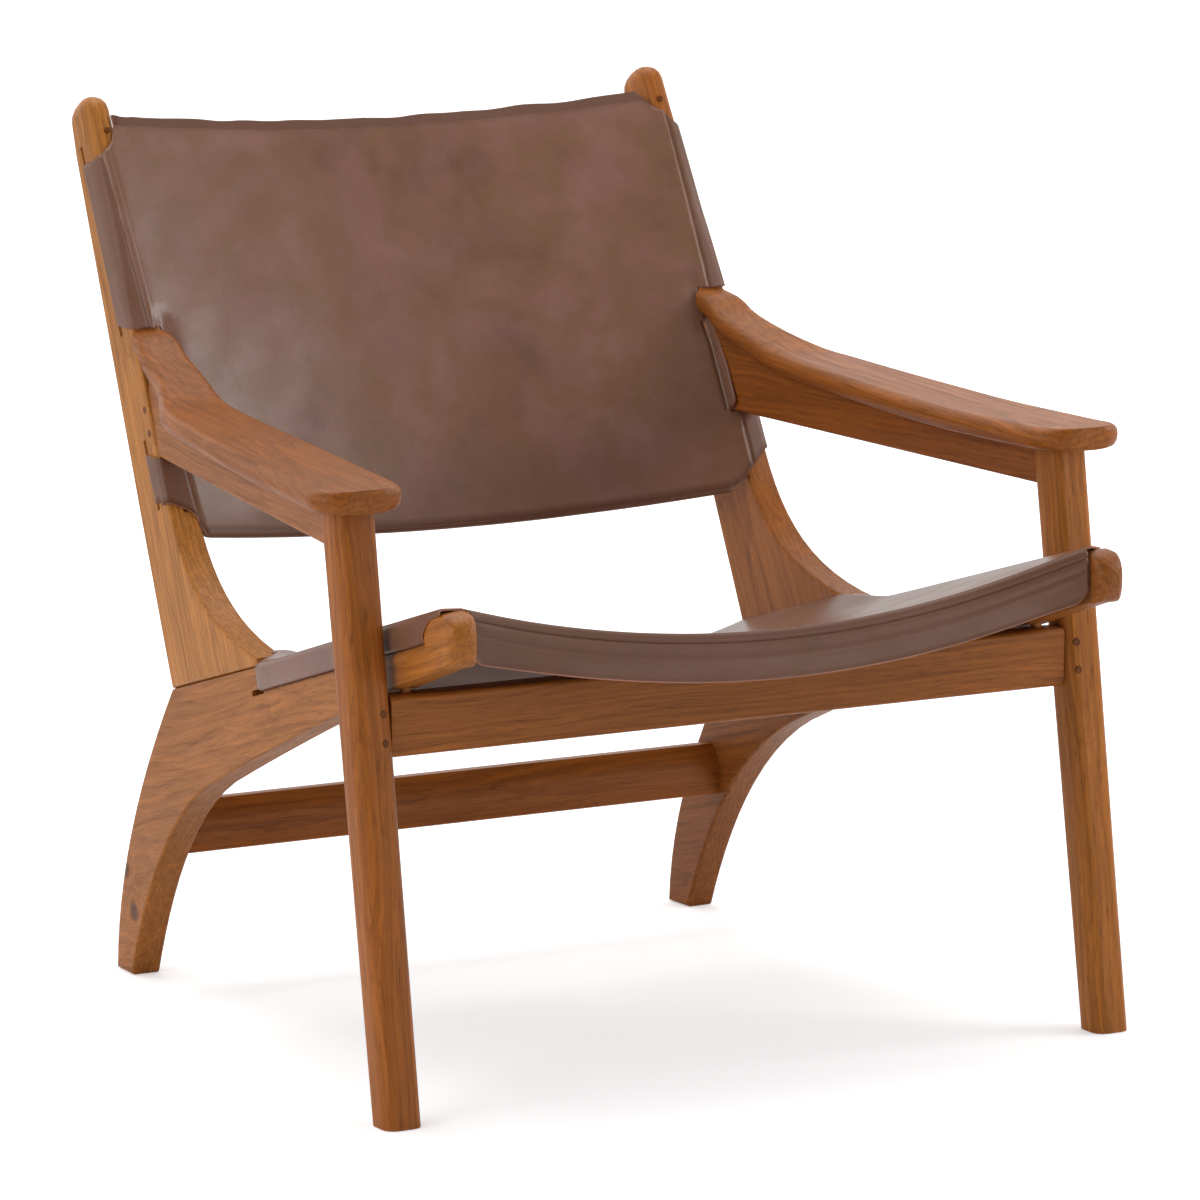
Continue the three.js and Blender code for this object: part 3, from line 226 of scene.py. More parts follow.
# grain is the direction of the fibres, heart the place of the tree's middle in the board's own turn
def teakBoard(name, grain, heart, tint=(1, 1, 1), knots=()):
    material, tree = newMaterial(name)
    spot = addNode(tree, "ShaderNodeTexCoord").outputs["Object"]
    bend = None
    for place, reach in knots:
        away = addNode(tree, "ShaderNodeVectorMath", {"operation": "DISTANCE"},
                       {0: spot, 1: [c * mm for c in place]})
        near = addNode(tree, "ShaderNodeMapRange", {"interpolation_type": "SMOOTHERSTEP"},
                       {"Value": away.outputs["Value"], "From Min": reach * mm,
                        "From Max": 0.0}).outputs[0]
        bend = near if bend is None else addNode(
            tree, "ShaderNodeMath", {"operation": "MAXIMUM"}, {0: bend, 1: near}).outputs[0]
    turn = Vector(grain).to_track_quat("Z", "Y").inverted().to_euler()
    board = addNode(tree, "ShaderNodeMapping", None,
                    {"Vector": spot, "Location": [-c * mm for c in heart], "Rotation": turn})
    squeezed = addNode(tree, "ShaderNodeMapping", None,
                       {"Vector": board.outputs[0], "Scale": (1, 1, teak["patchSquash"])})
    sway = addNode(tree, "ShaderNodeTexNoise", None,
                   {"Vector": squeezed.outputs[0], "Scale": teak["swayPerMetre"], "Detail": 2.0,
                    "Roughness": 0.5})
    aside = teak["sway"] * mm
    path = addNode(tree, "ShaderNodeVectorMath", {"operation": "MULTIPLY_ADD"},
                   {0: sway.outputs["Color"], 1: (aside, aside, 0.0),
                    2: board.outputs[0]}).outputs[0]
    if bend is not None:
        push = teak["knotPush"] * mm
        pushed = addNode(tree, "ShaderNodeCombineXYZ", None, {"X": bend, "Y": bend})
        path = addNode(tree, "ShaderNodeVectorMath", {"operation": "MULTIPLY_ADD"},
                       {0: pushed.outputs[0], 1: (push, push, 0.0), 2: path}).outputs[0]
    rings = addNode(tree, "ShaderNodeTexWave",
                    {"wave_type": "RINGS", "rings_direction": "Z", "wave_profile": "SAW"},
                    {"Vector": path, "Scale": math.pi / (10 * teak["ring"] * mm),
                     "Distortion": 0.5, "Detail": 2.0, "Detail Scale": 0.5})
    growth = setRamp(addNode(tree, "ShaderNodeValToRGB", None, {"Fac": rings.outputs["Fac"]}),
                     [(0.0, teak["early"]), (0.35, teak["early"]), (0.85, teak["late"]),
                      (0.96, teak["deep"]), (1.0, teak["early"])])
    plain = addNode(tree, "ShaderNodeMix", {"data_type": "RGBA"},
                    {0: teak["plainShare"], 6: growth.outputs[0], 7: toLinear(teak["early"])})
    fibres = addNode(tree, "ShaderNodeMapping", None,
                     {"Vector": path, "Scale": (1, 1, teak["fibreSquash"])})
    streaks = addNode(tree, "ShaderNodeTexNoise", None,
                      {"Vector": fibres.outputs[0], "Scale": 1 / (teak["streak"] * mm),
                       "Detail": 4.0, "Roughness": 0.62})
    streaked = addNode(tree, "ShaderNodeMapRange", None,
                       {"Value": streaks.outputs["Fac"], "From Min": 0.3, "From Max": 0.7,
                        "To Min": 0.72, "To Max": 1.2})
    drift = addNode(tree, "ShaderNodeTexNoise", None,
                    {"Vector": squeezed.outputs[0], "Scale": teak["driftPerMetre"], "Detail": 3.0})
    tone = addNode(tree, "ShaderNodeMapRange", None,
                   {"Value": drift.outputs["Fac"], "From Min": 0.3, "From Max": 0.7,
                    "To Min": 0.86, "To Max": 1.14})
    both = addNode(tree, "ShaderNodeMath", {"operation": "MULTIPLY"},
                   {0: tone.outputs[0], 1: streaked.outputs[0]})
    # the tint: partly the board's own tone, partly painted light and shade on this board
    cast = addNode(tree, "ShaderNodeVectorMath", {"operation": "SCALE"},
                   {0: tint, "Scale": both.outputs[0]})
    toned = addNode(tree, "ShaderNodeMix", {"data_type": "RGBA", "blend_type": "MULTIPLY"},
                    {0: 1.0, 6: plain.outputs[2], 7: cast.outputs[0]})
    pores = addNode(tree, "ShaderNodeTexNoise", None,
                    {"Vector": fibres.outputs[0], "Scale": 1 / (teak["poreWidth"] * mm),
                     "Detail": 2.0, "Roughness": 0.6})
    dark = addNode(tree, "ShaderNodeMapRange", None,
                   {"Value": pores.outputs["Fac"], "From Min": 0.54, "From Max": 0.74,
                    "To Min": 0.0, "To Max": 0.6})
    pored = addNode(tree, "ShaderNodeMix", {"data_type": "RGBA"},
                    {0: dark.outputs[0], 6: toned.outputs[2], 7: toLinear(teak["pore"])})
    colour = pored.outputs[2]
    if bend is not None:
        eye = addNode(tree, "ShaderNodeMapRange", None,
                      {"Value": bend, "From Min": teak["knotEye"][0],
                       "From Max": teak["knotEye"][1], "To Max": 0.85})
        knotted = addNode(tree, "ShaderNodeMix", {"data_type": "RGBA"},
                          {0: eye.outputs[0], 6: colour, 7: toLinear(teak["pore"])})
        colour = knotted.outputs[2]
    sheen = addNode(tree, "ShaderNodeMapRange", None,
                    {"Value": streaks.outputs["Fac"], "From Min": 0.3, "From Max": 0.7,
                     "To Min": teak["roughness"] + 0.08, "To Max": teak["roughness"] - 0.05})
    bump = addNode(tree, "ShaderNodeBump", {"invert": True},
                   {"Height": dark.outputs[0], "Strength": 0.3, "Distance": 0.0003})
    shader = addNode(tree, "ShaderNodeBsdfPrincipled", None,
                     {"Base Color": colour, "Roughness": sheen.outputs[0], "IOR": 1.45,
                      "Specular IOR Level": 0.24, "Normal": bump.outputs[0]})
    addNode(tree, "ShaderNodeOutputMaterial", None, {"Surface": shader.outputs[0]})
    return material


# The sawn timber of the frame, smoothed over its rounded edges
def dressTimber(name, material):
    source = nodes[name]
    bm = bmesh.new()
    bm.from_mesh(source.data)
    bmesh.ops.remove_doubles(bm, verts=bm.verts, dist=1e-5)
    bmesh.ops.dissolve_limit(bm, angle_limit=math.radians(teak["flatTurn"]), verts=bm.verts,
                             edges=bm.edges)
    for edge in bm.edges:
        edge.smooth = edge.calc_face_angle(0) < math.radians(teak["smoothTurn"])
    mesh = meshFrom(name + "_timber", bm)
    mesh.materials.append(material)
    for polygon in mesh.polygons:
        polygon.use_smooth = True
    timber = addObject(name + "_timber", mesh)
    shading = timber.modifiers.new("flat_faces", "WEIGHTED_NORMAL")
    shading.keep_sharp = True
    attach(timber, "root")
    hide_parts(name)


railPitch = math.radians(16.2)
postRake = math.radians(26)             # about midway between the rakes of the post's two edges
railLie = (0, math.cos(railPitch), -math.sin(railPitch))
postLie = (0, math.sin(postRake), math.cos(postRake))
legLie = (0, 83, 506)                   # how far the front leg leans back over its height, in mm
# the fibres' direction, the heart's place, the tint, and knots with their reach, in mm. The tint is
# partly the board's own tone and partly painted light and shade: it lightens or darkens each board
# as the light falls on it
boards = {
    "front_leg_left": (legLie, (384, -240, 0), (1.15, 1.2, 1.05)),
    "front_leg_right": (legLie, (-310, -250, 300), (0.97, 0.94, 0.88)),
    "side_rail_left": (railLie, (345, 0, 300), (0.74, 0.72, 0.7)),
    "side_rail_right": (railLie, (-345, 10, 330), (1.02, 1.1, 1.1),
                        [((-303, 263, 60), 34), ((-303, 280, 95), 26)]),
    "back_post_left": (postLie, (330, 20, 10), (0.97, 0.98, 0.96)),
    "back_post_right": (postLie, (-345, -30, -10), (1.3, 1.56, 1.7)),
    "armrest_left": ((0.06, -1, -0.08), (350, 30, 440), (0.93, 0.9, 0.84)),
    "armrest_right": ((-0.06, -1, -0.08), (-342, 0, 452), (0.87, 0.83, 0.74)),
    "arm_rail_left": ((0.1, -1, 0), (280, 0, 500), (0.88, 0.82, 0.74)),
    "arm_rail_right": ((-0.1, -1, 0), (-280, 0, 500), (0.95, 0.97, 1.0)),
    "front_apron": ((1, 0, 0), (0, -240, 250), (0.88, 0.87, 0.84)),
    "rear_stretcher": ((1, 0, 0), (0, 190, 200), (0.95, 0.86, 0.66)),
}
for name, lay in boards.items():
    dressTimber(name, teakBoard("oiled_teak_" + name, *lay))
endGrain = teakBoard("dark_peg_end_grain", (0, 1, 0), (0, 0, 0), (0.42, 0.4, 0.4))
hiddenWood = teakBoard("raw_beech", (0, 0, 1), (0, 0, 0), (1.4, 1.6, 1.9))
for name, node in nodes.items():
    if name not in boards and "sling" not in name:
        node.data.materials.clear()
        node.data.materials.append(endGrain if "peg" in name or "plug" in name else hiddenWood)
print("wood dressed")


# Where the frame's timbers lie, in millimetres from the front feet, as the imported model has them
footHalf = 17.5                         # half of the front leg's foot
lie = {
    "span": 312, "toe": math.radians(2.1), "face": 14, "edge": 3,
    "setBack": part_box("front_leg_left")[0].y / mm + footHalf,
    "post": (512, 446, math.radians(62.9)),
    "rail": (0, 424.3, -railPitch),
    "postReach": 390.9, "postTopDepth": 46, "postTaper": math.tan(math.radians(2.75)),
    "crownStart": 376, "crownShift": 3.5,
    # share of the way to the crown, roundness of the section's front and rear, share of the shift
    "sections": [(0, 16, 16, 0), (0.4, 12, 14, 0), (0.505, 6.5, 12, 0), (0.64, 3.6, 9, 0.1),
                 (0.8, 2.9, 7, 0.3), (0.92, 2.6, 5, 0.7), (1, 2.6, 3, 1)],
}


# A point beside an edge of the plank: out, along the edge and square to it, in metres
def besideEdge(side, axes, out, along, high):
    deep = axes[0] + along * math.cos(axes[2]) - high * math.sin(axes[2])
    up = axes[1] + along * math.sin(axes[2]) + high * math.cos(axes[2])
    x = lie["span"] + out * math.cos(lie["toe"]) - deep * math.sin(lie["toe"])
    y = out * math.sin(lie["toe"]) + deep * math.cos(lie["toe"]) + lie["setBack"]
    return Vector((side * x, y, up)) * mm


def squareTo(side, axes):
    return (besideEdge(side, axes, 0, 0, 1) - besideEdge(side, axes, 0, 0, 0)).normalized()


def between(rows, place):
    for a, b in zip(rows, rows[1:]):
        if place <= b[0]:
            break
    share = min(1, max(0, (place - a[0]) / (b[0] - a[0])))
    return [p + (q - p) * share for p, q in zip(a[1:], b[1:])]


def postSection(along):
    front, rear, shift = between(lie["sections"], along / lie["crownStart"])
    half = ((lie["postReach"] - along) * lie["postTaper"] + lie["postTopDepth"]) / 2
    return half, front, rear, -half - lie["crownShift"] * shift


# The section's point whose surface faces a turn from straight out, moved out by a gap
def sectionPoint(section, turn, gap):
    half, front, rear, middle = section
    c, s = math.cos(turn), math.sin(turn)
    power = front if s > 0 else rear
    angle = math.atan(abs((half * s) / (lie["face"] * c)) ** (power / (2 * power - 2)))
    out = math.copysign(lie["face"] * math.cos(angle) ** (2 / power), c)
    deep = math.copysign(half * math.sin(angle) ** (2 / power), s)
    return out + gap * c, middle + deep + gap * s


def sectionFace(section, high):
    half, front, rear, middle = section
    share = (high - middle) / half
    power = front if share > 0 else rear
    return lie["face"] * (1 - abs(share) ** power) ** (1 / power)


# Running length to each point of a line
def runLengths(points):
    lengths = [0]
    for a, b in zip(points, points[1:]):
        lengths.append(lengths[-1] + (b - a).length)
    return lengths


# The same line with its points evenly spaced
def spread(points, count):
    lengths = runLengths(points)
    found, i = [], 0
    for n in range(count + 1):
        place = lengths[-1] * n / count
        while i < len(points) - 2 and lengths[i + 1] < place:
            i += 1
        run = lengths[i + 1] - lengths[i]
        share = (place - lengths[i]) / run if run > 0 else 0
        found.append(points[i].lerp(points[i + 1], min(1, share)))
    return found


# A grid whose points are placed one by one. Its flat lengths are kept as a UV map in metres, and
# how far each point is turned brown, by rubbing and by painted shade, as an attribute
def gridSheet(rows, flatAt, rubAndShadeAt):
    columns = len(rows[0]) - 1
    bm = bmesh.new()
    bmesh.ops.create_grid(bm, x_segments=columns, y_segments=len(rows) - 1, size=0.5)
    flat = bm.loops.layers.uv.new("flat")
    rubAndShade = bm.verts.layers.float.new("rubAndShade")
    spots = {}
    for vert in bm.verts:
        column = round((vert.co.x + 0.5) * columns)
        row = round((vert.co.y + 0.5) * (len(rows) - 1))
        spots[vert] = (column, row)
        vert.co = rows[row][column]
        vert[rubAndShade] = rubAndShadeAt(column, row)
    for face in bm.faces:
        for loop in face.loops:
            loop[flat].uv = flatAt(*spots[loop.vert])
    return bm


# Cuts along planes, then takes out the faces whose middles are in the hole
def cutSheet(bm, planes, near, hole):
    for place, normal in planes:
        faces = [f for f in bm.faces if near(f.calc_center_median())]
        parts = faces + list({e for f in faces for e in f.edges})
        parts += list({v for f in faces for v in f.verts})
        bmesh.ops.bisect_plane(bm, geom=parts, dist=1e-6, plane_co=place, plane_no=normal)
    gone = [f for f in bm.faces if hole(f.calc_center_median())]
    bmesh.ops.delete(bm, geom=gone, context="FACES")


# The middle of a face on the flat hide, across and along
def flatMiddle(face, layer):
    count = len(face.loops)
    return [sum(loop[layer].uv[axis] for loop in face.loops) / count for axis in (0, 1)]


def finishSheet(name, bm, thickness, replaced, faceOut):
    bmesh.ops.remove_doubles(bm, verts=bm.verts, dist=2e-6)
    bm.normal_update()
    if sum((f.normal.dot(faceOut) * f.calc_area()) for f in bm.faces) < 0:
        bmesh.ops.reverse_faces(bm, faces=bm.faces)
    area = sum(face.calc_area() for face in bm.faces)
    mesh = meshFrom(name, bm)
    mesh.shade_smooth()
    piece = addObject(name, mesh)
    for material in (grainSide, fleshSide, cutEdge):
        mesh.materials.append(material)
    wall = piece.modifiers.new("thickness", "SOLIDIFY")
    wall.thickness = thickness * mm
    wall.offset = 0
    wall.use_even_offset = False
    wall.material_offset = 1
    wall.material_offset_rim = 2
    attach(piece, "root")
    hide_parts(replaced)
    return piece


# Waxed hide: uneven brown, from plum to olive, with a soft sheen, a fine pebble and faint wrinkles
hide = {
    "plum": "#876053",
    "olive": "#805c45",
    "pale": "#9a7469",
    "dark": "#56382f",
    "rubbedAndShaded": "#5d3218",    # where the edges are bent over, waxed and rubbed; also the painted shade low on the back
    "flesh": "#5b4239",
    "raw": "#a5705a",
    "pebble": 1.6,          # mm, drawn coarser than a real half millimetre so that it shows
    "cloudsPerMetre": 7.0,  # patches from plum to olive
    "smokePerMetre": 13.0,  # paler and darker stains
    "wrinklesPerMetre": 26.0,
    "napPerMetre": 420.0,
    "napClouds": 9.0,       # patches per metre on the flesh side and the cut edge
    "roughness": 0.28,
    "rubbedDull": 0.35,     # how much rougher rubbed hide is
}


def hideSide(name):
    material, tree = newMaterial(name)
    spot = addNode(tree, "ShaderNodeTexCoord").outputs["Object"]
    flat = addNode(tree, "ShaderNodeUVMap", {"uv_map": "flat"}).outputs[0]
    clouds = addNode(tree, "ShaderNodeTexNoise", None,
                     {"Vector": spot, "Scale": hide["cloudsPerMetre"], "Detail": 5.0,
                      "Roughness": 0.6, "Distortion": 0.6})
    tint = setRamp(addNode(tree, "ShaderNodeValToRGB", None, {"Fac": clouds.outputs["Fac"]}),
                   [(0.36, hide["plum"]), (0.5, hide["olive"]), (0.64, hide["plum"])])
    smoke = addNode(tree, "ShaderNodeTexNoise", None,
                    {"Vector": spot, "Scale": hide["smokePerMetre"], "Detail": 6.0,
                     "Roughness": 0.62})
    worn = addNode(tree, "ShaderNodeMapRange", None,
                   {"Value": smoke.outputs["Fac"], "From Min": 0.52, "From Max": 0.72,
                    "To Max": 0.5})
    lighter = addNode(tree, "ShaderNodeMix", {"data_type": "RGBA"},
                      {0: worn.outputs[0], 6: tint.outputs[0], 7: toLinear(hide["pale"])})
    stain = addNode(tree, "ShaderNodeMapRange", None,
                    {"Value": smoke.outputs["Fac"], "From Min": 0.48, "From Max": 0.3,
                     "To Max": 0.4})
    darker = addNode(tree, "ShaderNodeMix", {"data_type": "RGBA"},
                     {0: stain.outputs[0], 6: lighter.outputs[2], 7: toLinear(hide["dark"])})
    # the attribute holds the rubbed brown edges and the painted shade low on the back
    rubAndShade = addNode(tree, "ShaderNodeAttribute", {"attribute_name": "rubAndShade"}).outputs["Fac"]
    rubbedAndShaded = addNode(tree, "ShaderNodeMix", {"data_type": "RGBA"},
                     {0: rubAndShade, 6: darker.outputs[2], 7: toLinear(hide["rubbedAndShaded"])})
    pebble = addNode(tree, "ShaderNodeTexVoronoi", {"feature": "F1"},
                     {"Vector": flat, "Scale": 1 / (hide["pebble"] * mm)})
    wrinkle = addNode(tree, "ShaderNodeTexNoise", None,
                      {"Vector": flat, "Scale": hide["wrinklesPerMetre"], "Detail": 3.0,
                       "Roughness": 0.5, "Distortion": 0.7})
    polish = addNode(tree, "ShaderNodeMapRange", None,
                     {"Value": smoke.outputs["Fac"], "From Min": 0.3, "From Max": 0.7,
                      "To Min": hide["roughness"] + 0.06, "To Max": hide["roughness"] - 0.05})
    dulled = addNode(tree, "ShaderNodeMath", {"operation": "MULTIPLY_ADD"},
                     {0: rubAndShade, 1: hide["rubbedDull"], 2: polish.outputs[0]})
    soft = addNode(tree, "ShaderNodeBump", None,
                   {"Height": wrinkle.outputs["Fac"], "Strength": 0.35, "Distance": 0.0012})
    fine = addNode(tree, "ShaderNodeBump", None,
                   {"Height": pebble.outputs["Distance"], "Strength": 0.12, "Distance": 0.0003,
                    "Normal": soft.outputs[0]})
    shader = addNode(tree, "ShaderNodeBsdfPrincipled", None,
                     {"Base Color": rubbedAndShaded.outputs[2], "Roughness": dulled.outputs[0], "IOR": 1.5,
                      "Specular IOR Level": 0.38, "Coat Weight": 0.15, "Coat Roughness": 0.22,
                      "Normal": fine.outputs[0]})
    addNode(tree, "ShaderNodeOutputMaterial", None, {"Surface": shader.outputs[0]})
    return material


def suedeSide(name, colour, roughness):
    material, tree = newMaterial(name)
    spot = addNode(tree, "ShaderNodeTexCoord").outputs["Object"]
    nap = addNode(tree, "ShaderNodeTexNoise", None,
                  {"Vector": spot, "Scale": hide["napPerMetre"], "Detail": 3.0, "Roughness": 0.7})
    clouds = addNode(tree, "ShaderNodeTexNoise", None,
                     {"Vector": spot, "Scale": hide["napClouds"], "Detail": 4.0})
    shade = addNode(tree, "ShaderNodeMapRange", None,
                    {"Value": clouds.outputs["Fac"], "From Min": 0.3, "From Max": 0.7,
                     "To Min": 0.8, "To Max": 1.15})
    tone = addNode(tree, "ShaderNodeMix", {"data_type": "RGBA", "blend_type": "MULTIPLY"},
                   {0: 1.0, 6: toLinear(colour), 7: shade.outputs[0]})
    speck = addNode(tree, "ShaderNodeMapRange", None,
                    {"Value": nap.outputs["Fac"], "From Min": 0.3, "From Max": 0.7,
                     "To Min": 0.82, "To Max": 1.12})
    colours = addNode(tree, "ShaderNodeMix", {"data_type": "RGBA", "blend_type": "MULTIPLY"},
                      {0: 1.0, 6: tone.outputs[2], 7: speck.outputs[0]})
    bump = addNode(tree, "ShaderNodeBump", None,
                   {"Height": nap.outputs["Fac"], "Strength": 0.4, "Distance": 0.0005})
    shader = addNode(tree, "ShaderNodeBsdfPrincipled", None,
                     {"Base Color": colours.outputs[2], "Roughness": roughness, "IOR": 1.45,
                      "Normal": bump.outputs[0]})
    addNode(tree, "ShaderNodeOutputMaterial", None, {"Surface": shader.outputs[0]})
    return material


grainSide = hideSide("waxed_hide")
fleshSide = suedeSide("hide_flesh_side", hide["flesh"], 0.85)
cutEdge = suedeSide("hide_cut_edge", hide["raw"], 0.75)


# Hide in a slot: where its inner end lies, and how it bends over the slot's edge, in mm
slotEdge = {"end": 2, "bend": 1.5, "soften": 0.4}


def slotWay(face, tuck):
    bend, soften = slotEdge["bend"], slotEdge["soften"]
    return [(slotEdge["end"], tuck), (face - bend, tuck), (face - soften, tuck + soften),
            (face, tuck + bend)]


# A point of the chair in the side frame, in mm: out from the plank's middle, and back
def inSideFrame(side, point):
    x, y = side * point.x / mm - lie["span"], point.y / mm - lie["setBack"]
    c, s = math.cos(lie["toe"]), math.sin(lie["toe"])
    return x * c + y * s, y * c - x * s


def outOf(side, point):
    return inSideFrame(side, point)[0]


# Distance along an edge of the plank, for a point of the chair
def alongOf(side, axes, point):
    deep = inSideFrame(side, point)[1] - axes[0]
    return deep * math.cos(axes[2]) + (point.z / mm - axes[1]) * math.sin(axes[2])


def ease(share):
    share = min(1, max(0, share))
    return share * share * (3 - 2 * share)


def bell(off, width):
    return math.exp(-(off / width) ** 2)


# Slow waves in the hide, in mm. A layer is waves per metre, height and seed
def waves(across, along, layers):
    return sum(noise.noise(Vector((across * often, along * often, seed))) * height
               for often, height, seed in layers)


# A hide's edge turned round a radius: how far it has gone on, and down, after a run
def turnDown(run, radius, angle, ragged=0):
    bent, rest = min(angle, run / radius), max(0, run - radius * angle)
    if rest > 0:
        rest += ragged
    return (radius * math.sin(bent) + rest * math.cos(angle),
            radius * (1 - math.cos(bent)) + rest * math.sin(angle))


# Back sling: one panel, its side edges tucked into the posts' slots, its top and foot turned back.
# Lengths are in mm, turns in degrees, and 1 and -1 are the chair's left and right
back = {
    "thickness": 2.2, "hug": 0.55,
    "low": -31.0, "high": 366.0, "bow": 40.0,
    "flapLow": 5.0, "flapHigh": 329.0,
    "slotLow": 21.0, "slotHigh": 30.0,
    "wrapFrom": 8, "leave": 106,         # round the post, where the hide bends and where it leaves
    "footLift": 2.2,                     # it rides up on the flare of the post's foot
    "rows": 96, "spanColumns": 60, "wrapColumns": 22, "flapColumns": 10, "tuckColumns": 5,
    "samples": 50, "wrapSamples": 60, "spanSamples": 40, "lipRows": 10,
    "lip": 10.5, "lipTurn": 15,          # the turned edge above, and how far it is turned back
    "lipRound": 1.8, "footRound": 3.0,
    "lipFlat": (-12, 8),                 # it lies flat beside a post: from here, turning over this
    "lipRagged": (22, 1.3),              # its uneven cut: waves per metre, and height
    "slantFrom": (-10.9, 345.5), "slant": (1, 0.65),  # the cut across the lip's end at one post
    "slantWithin": -40, "slantClear": 0.5,
    "footLip": 7.0, "footTurn": 120,
    # the top and foot of the hide, out from the post's middle and along the post
    "topCuts": {1: [(-310, 355), (-60, 353.5), (-20.3, 353.5), (-10.9, 345.5), (-1.7, 338.9),
                    (4.9, 329.5), (14, 324), (40, 322)],
                -1: [(-310, 355), (-60, 357), (-8.5, 357), (-8.2, 351.4), (-4, 341.9), (0, 337.3),
                     (7.2, 331.7), (14, 327.3), (40, 322)]},
    "footCuts": {1: [(-60, -31), (-30, -31), (-16.3, -25), (-11.1, -17), (13, 3.4), (40, 9)],
                 -1: [(-60, -31), (-13.8, -31), (-13.3, -24), (-11.1, -15.8), (-5.8, -10.1),
                      (2, -5.7), (9.6, -2.2), (17.7, 0), (40, 5)]},
    "topRagged": (30, 1.1), "raggedWithin": -30,
    "lipEnds": {1: -10.9, -1: -8.4}, "footEnds": {1: -31.0, -1: -14.0},
    # the crease beside the post and the ridge inside it
    "creaseTop": {1: -1.0, -1: 9.5}, "creaseFoot": {1: -5.5, -1: -13.0},
    "creaseDeep": 1.4, "creaseWide": 1.3, "ridgeHigh": 1.1, "ridgeOff": 4, "ridgeWide": 2.2,
    # it is pressed back behind the paddle's rear end: from and to along the post, with fades
    "pressDeep": 3.6, "pressFrom": (104, 26), "pressTo": (186, 20), "pressOut": -17, "pressWide": 9,
    "waves": [(9, 1.6, 3.1), (28, 0.35, 7.7)], "waveFrom": 6, "waveOver": 60,
    "notchLow": 483.0, "notchHigh": 591.5, "notchIn": 3.2, "paddleLow": 562.0, "paddleIn": 0.4,
    "notchReach": (470, 610), "notchWithin": -30,
    # the flange turned forward along the arm rail: along the post, and how far it stands forward
    "flange": [(43, 8), (47, 14.5), (80, 15.5), (107, 12.4), (125, 8.6), (133, 3)],
    "flangeOut": -14.7, "flangeRoot": -0.6, "flangeBulge": 0.5, "flangeRub": 0.15,
    "flangeRows": 30, "flangeColumns": 6,
    "flangeFlat": 0.05,                  # metres that its map lies aside on the flat hide
    # how brown it is rubbed, and the painted shade low on the panel, as shares, and where that
    # fades
    "rubTop": 0.9, "paintedShadeLow": 0.3, "rubOutside": 0.45,
    "topFade": (0.6, 1.4), "footFade": (9, 7), "lowFade": (90, 80), "hiddenFade": (0.5, 1.5),
    "outsideFade": 3,
}


# Half a row of the back, from the slot round the post to the middle
def backRow(side, along):
    axes = lie["post"]
    gap = back["hug"] + back["thickness"] / 2
    section = postSection(max(along, 0))
    inset = back["slotLow"] + (back["slotHigh"] - back["slotLow"]) * (
        (along - back["flapLow"]) / (back["flapHigh"] - back["flapLow"]))
    tuck = back["thickness"] / 2 - inset
    face = sectionFace(section, tuck) + gap
    lift = back["footLift"] * (along / back["low"]) ** 2 if along < 0 else 0

    def at(out, high):
        return besideEdge(side, axes, out, along, high)

    inside = [at(out, high) for out, high in slotWay(face, tuck)]
    flap = [inside[-1], at(*sectionPoint(section, math.radians(back["wrapFrom"]), gap))]
    wrap = []
    for i in range(back["wrapSamples"] + 1):
        turn = back["wrapFrom"] + (back["leave"] - back["wrapFrom"]) * i / back["wrapSamples"]
        out, high = sectionPoint(section, math.radians(turn), gap)
        wrap.append(at(out, high + lift))
    square = squareTo(side, axes)
    span = []
    for i in range(back["spanSamples"] + 1):
        share = 1 - i / back["spanSamples"]
        point = wrap[-1].copy()
        point.x *= share
        span.append(point - square * back["bow"] * mm * (1 - share ** 2))
    return (spread(inside, back["tuckColumns"])[:-1] + spread(flap, back["flapColumns"])[:-1]
            + spread(wrap, back["wrapColumns"])[:-1] + spread(span, back["spanColumns"]))


# The notch's inner edge, turned forward along the arm rail
def addFlange(bm, side):
    first, last = back["flange"][0][0], back["flange"][-1][0]
    root = back["flangeRoot"]
    flat, rubAndShade = bm.loops.layers.uv["flat"], bm.verts.layers.float["rubAndShade"]
    made = bmesh.ops.create_grid(bm, x_segments=back["flangeColumns"],
                                 y_segments=back["flangeRows"], size=0.5)["verts"]
    for vert in made:
        wide, along = vert.co.x + 0.5, first + (last - first) * (vert.co.y + 0.5)
        high = root + (between(back["flange"], along)[0] - root) * wide
        bulge = back["flangeBulge"] * math.sin(math.pi * wide)
        vert.co = besideEdge(side, lie["post"], back["flangeOut"] - bulge, along, high)
        vert[rubAndShade] = back["flangeRub"]
    faces = list({face for vert in made for face in vert.link_faces})
    for face in faces:
        for loop in face.loops:
            loop[flat].uv = (back["flangeFlat"] + loop.vert.co.y, loop.vert.co.z)
    bm.normal_update()
    if sum(face.normal.x for face in faces) * side < 0:  # the hide is turned over as a whole later
        bmesh.ops.reverse_faces(bm, faces=faces)


# Where the crease beside a post lies, out from its middle
def creaseAt(side, rise):
    foot = back["creaseFoot"][side]
    return foot + (back["creaseTop"][side] - foot) * rise


# How far the hide stands forward of its taut shape, in mm
def backRelief(side, point, along):
    out = outOf(side, point)
    off = out - creaseAt(side, (along - back["low"]) / (back["high"] - back["low"]))
    push = (back["ridgeHigh"] * bell(off + back["ridgeOff"], back["ridgeWide"])
            - back["creaseDeep"] * bell(off, back["creaseWide"]))
    (start, rising), (end, falling) = back["pressFrom"], back["pressTo"]
    here = min(ease((along - start) / rising), ease((end - along) / falling))
    push -= back["pressDeep"] * here * bell(out - back["pressOut"], back["pressWide"])
    fade = min(1, max(0, (-off - back["waveFrom"]) / back["waveOver"]))
    return push + waves(point.x, point.z, back["waves"]) * fade


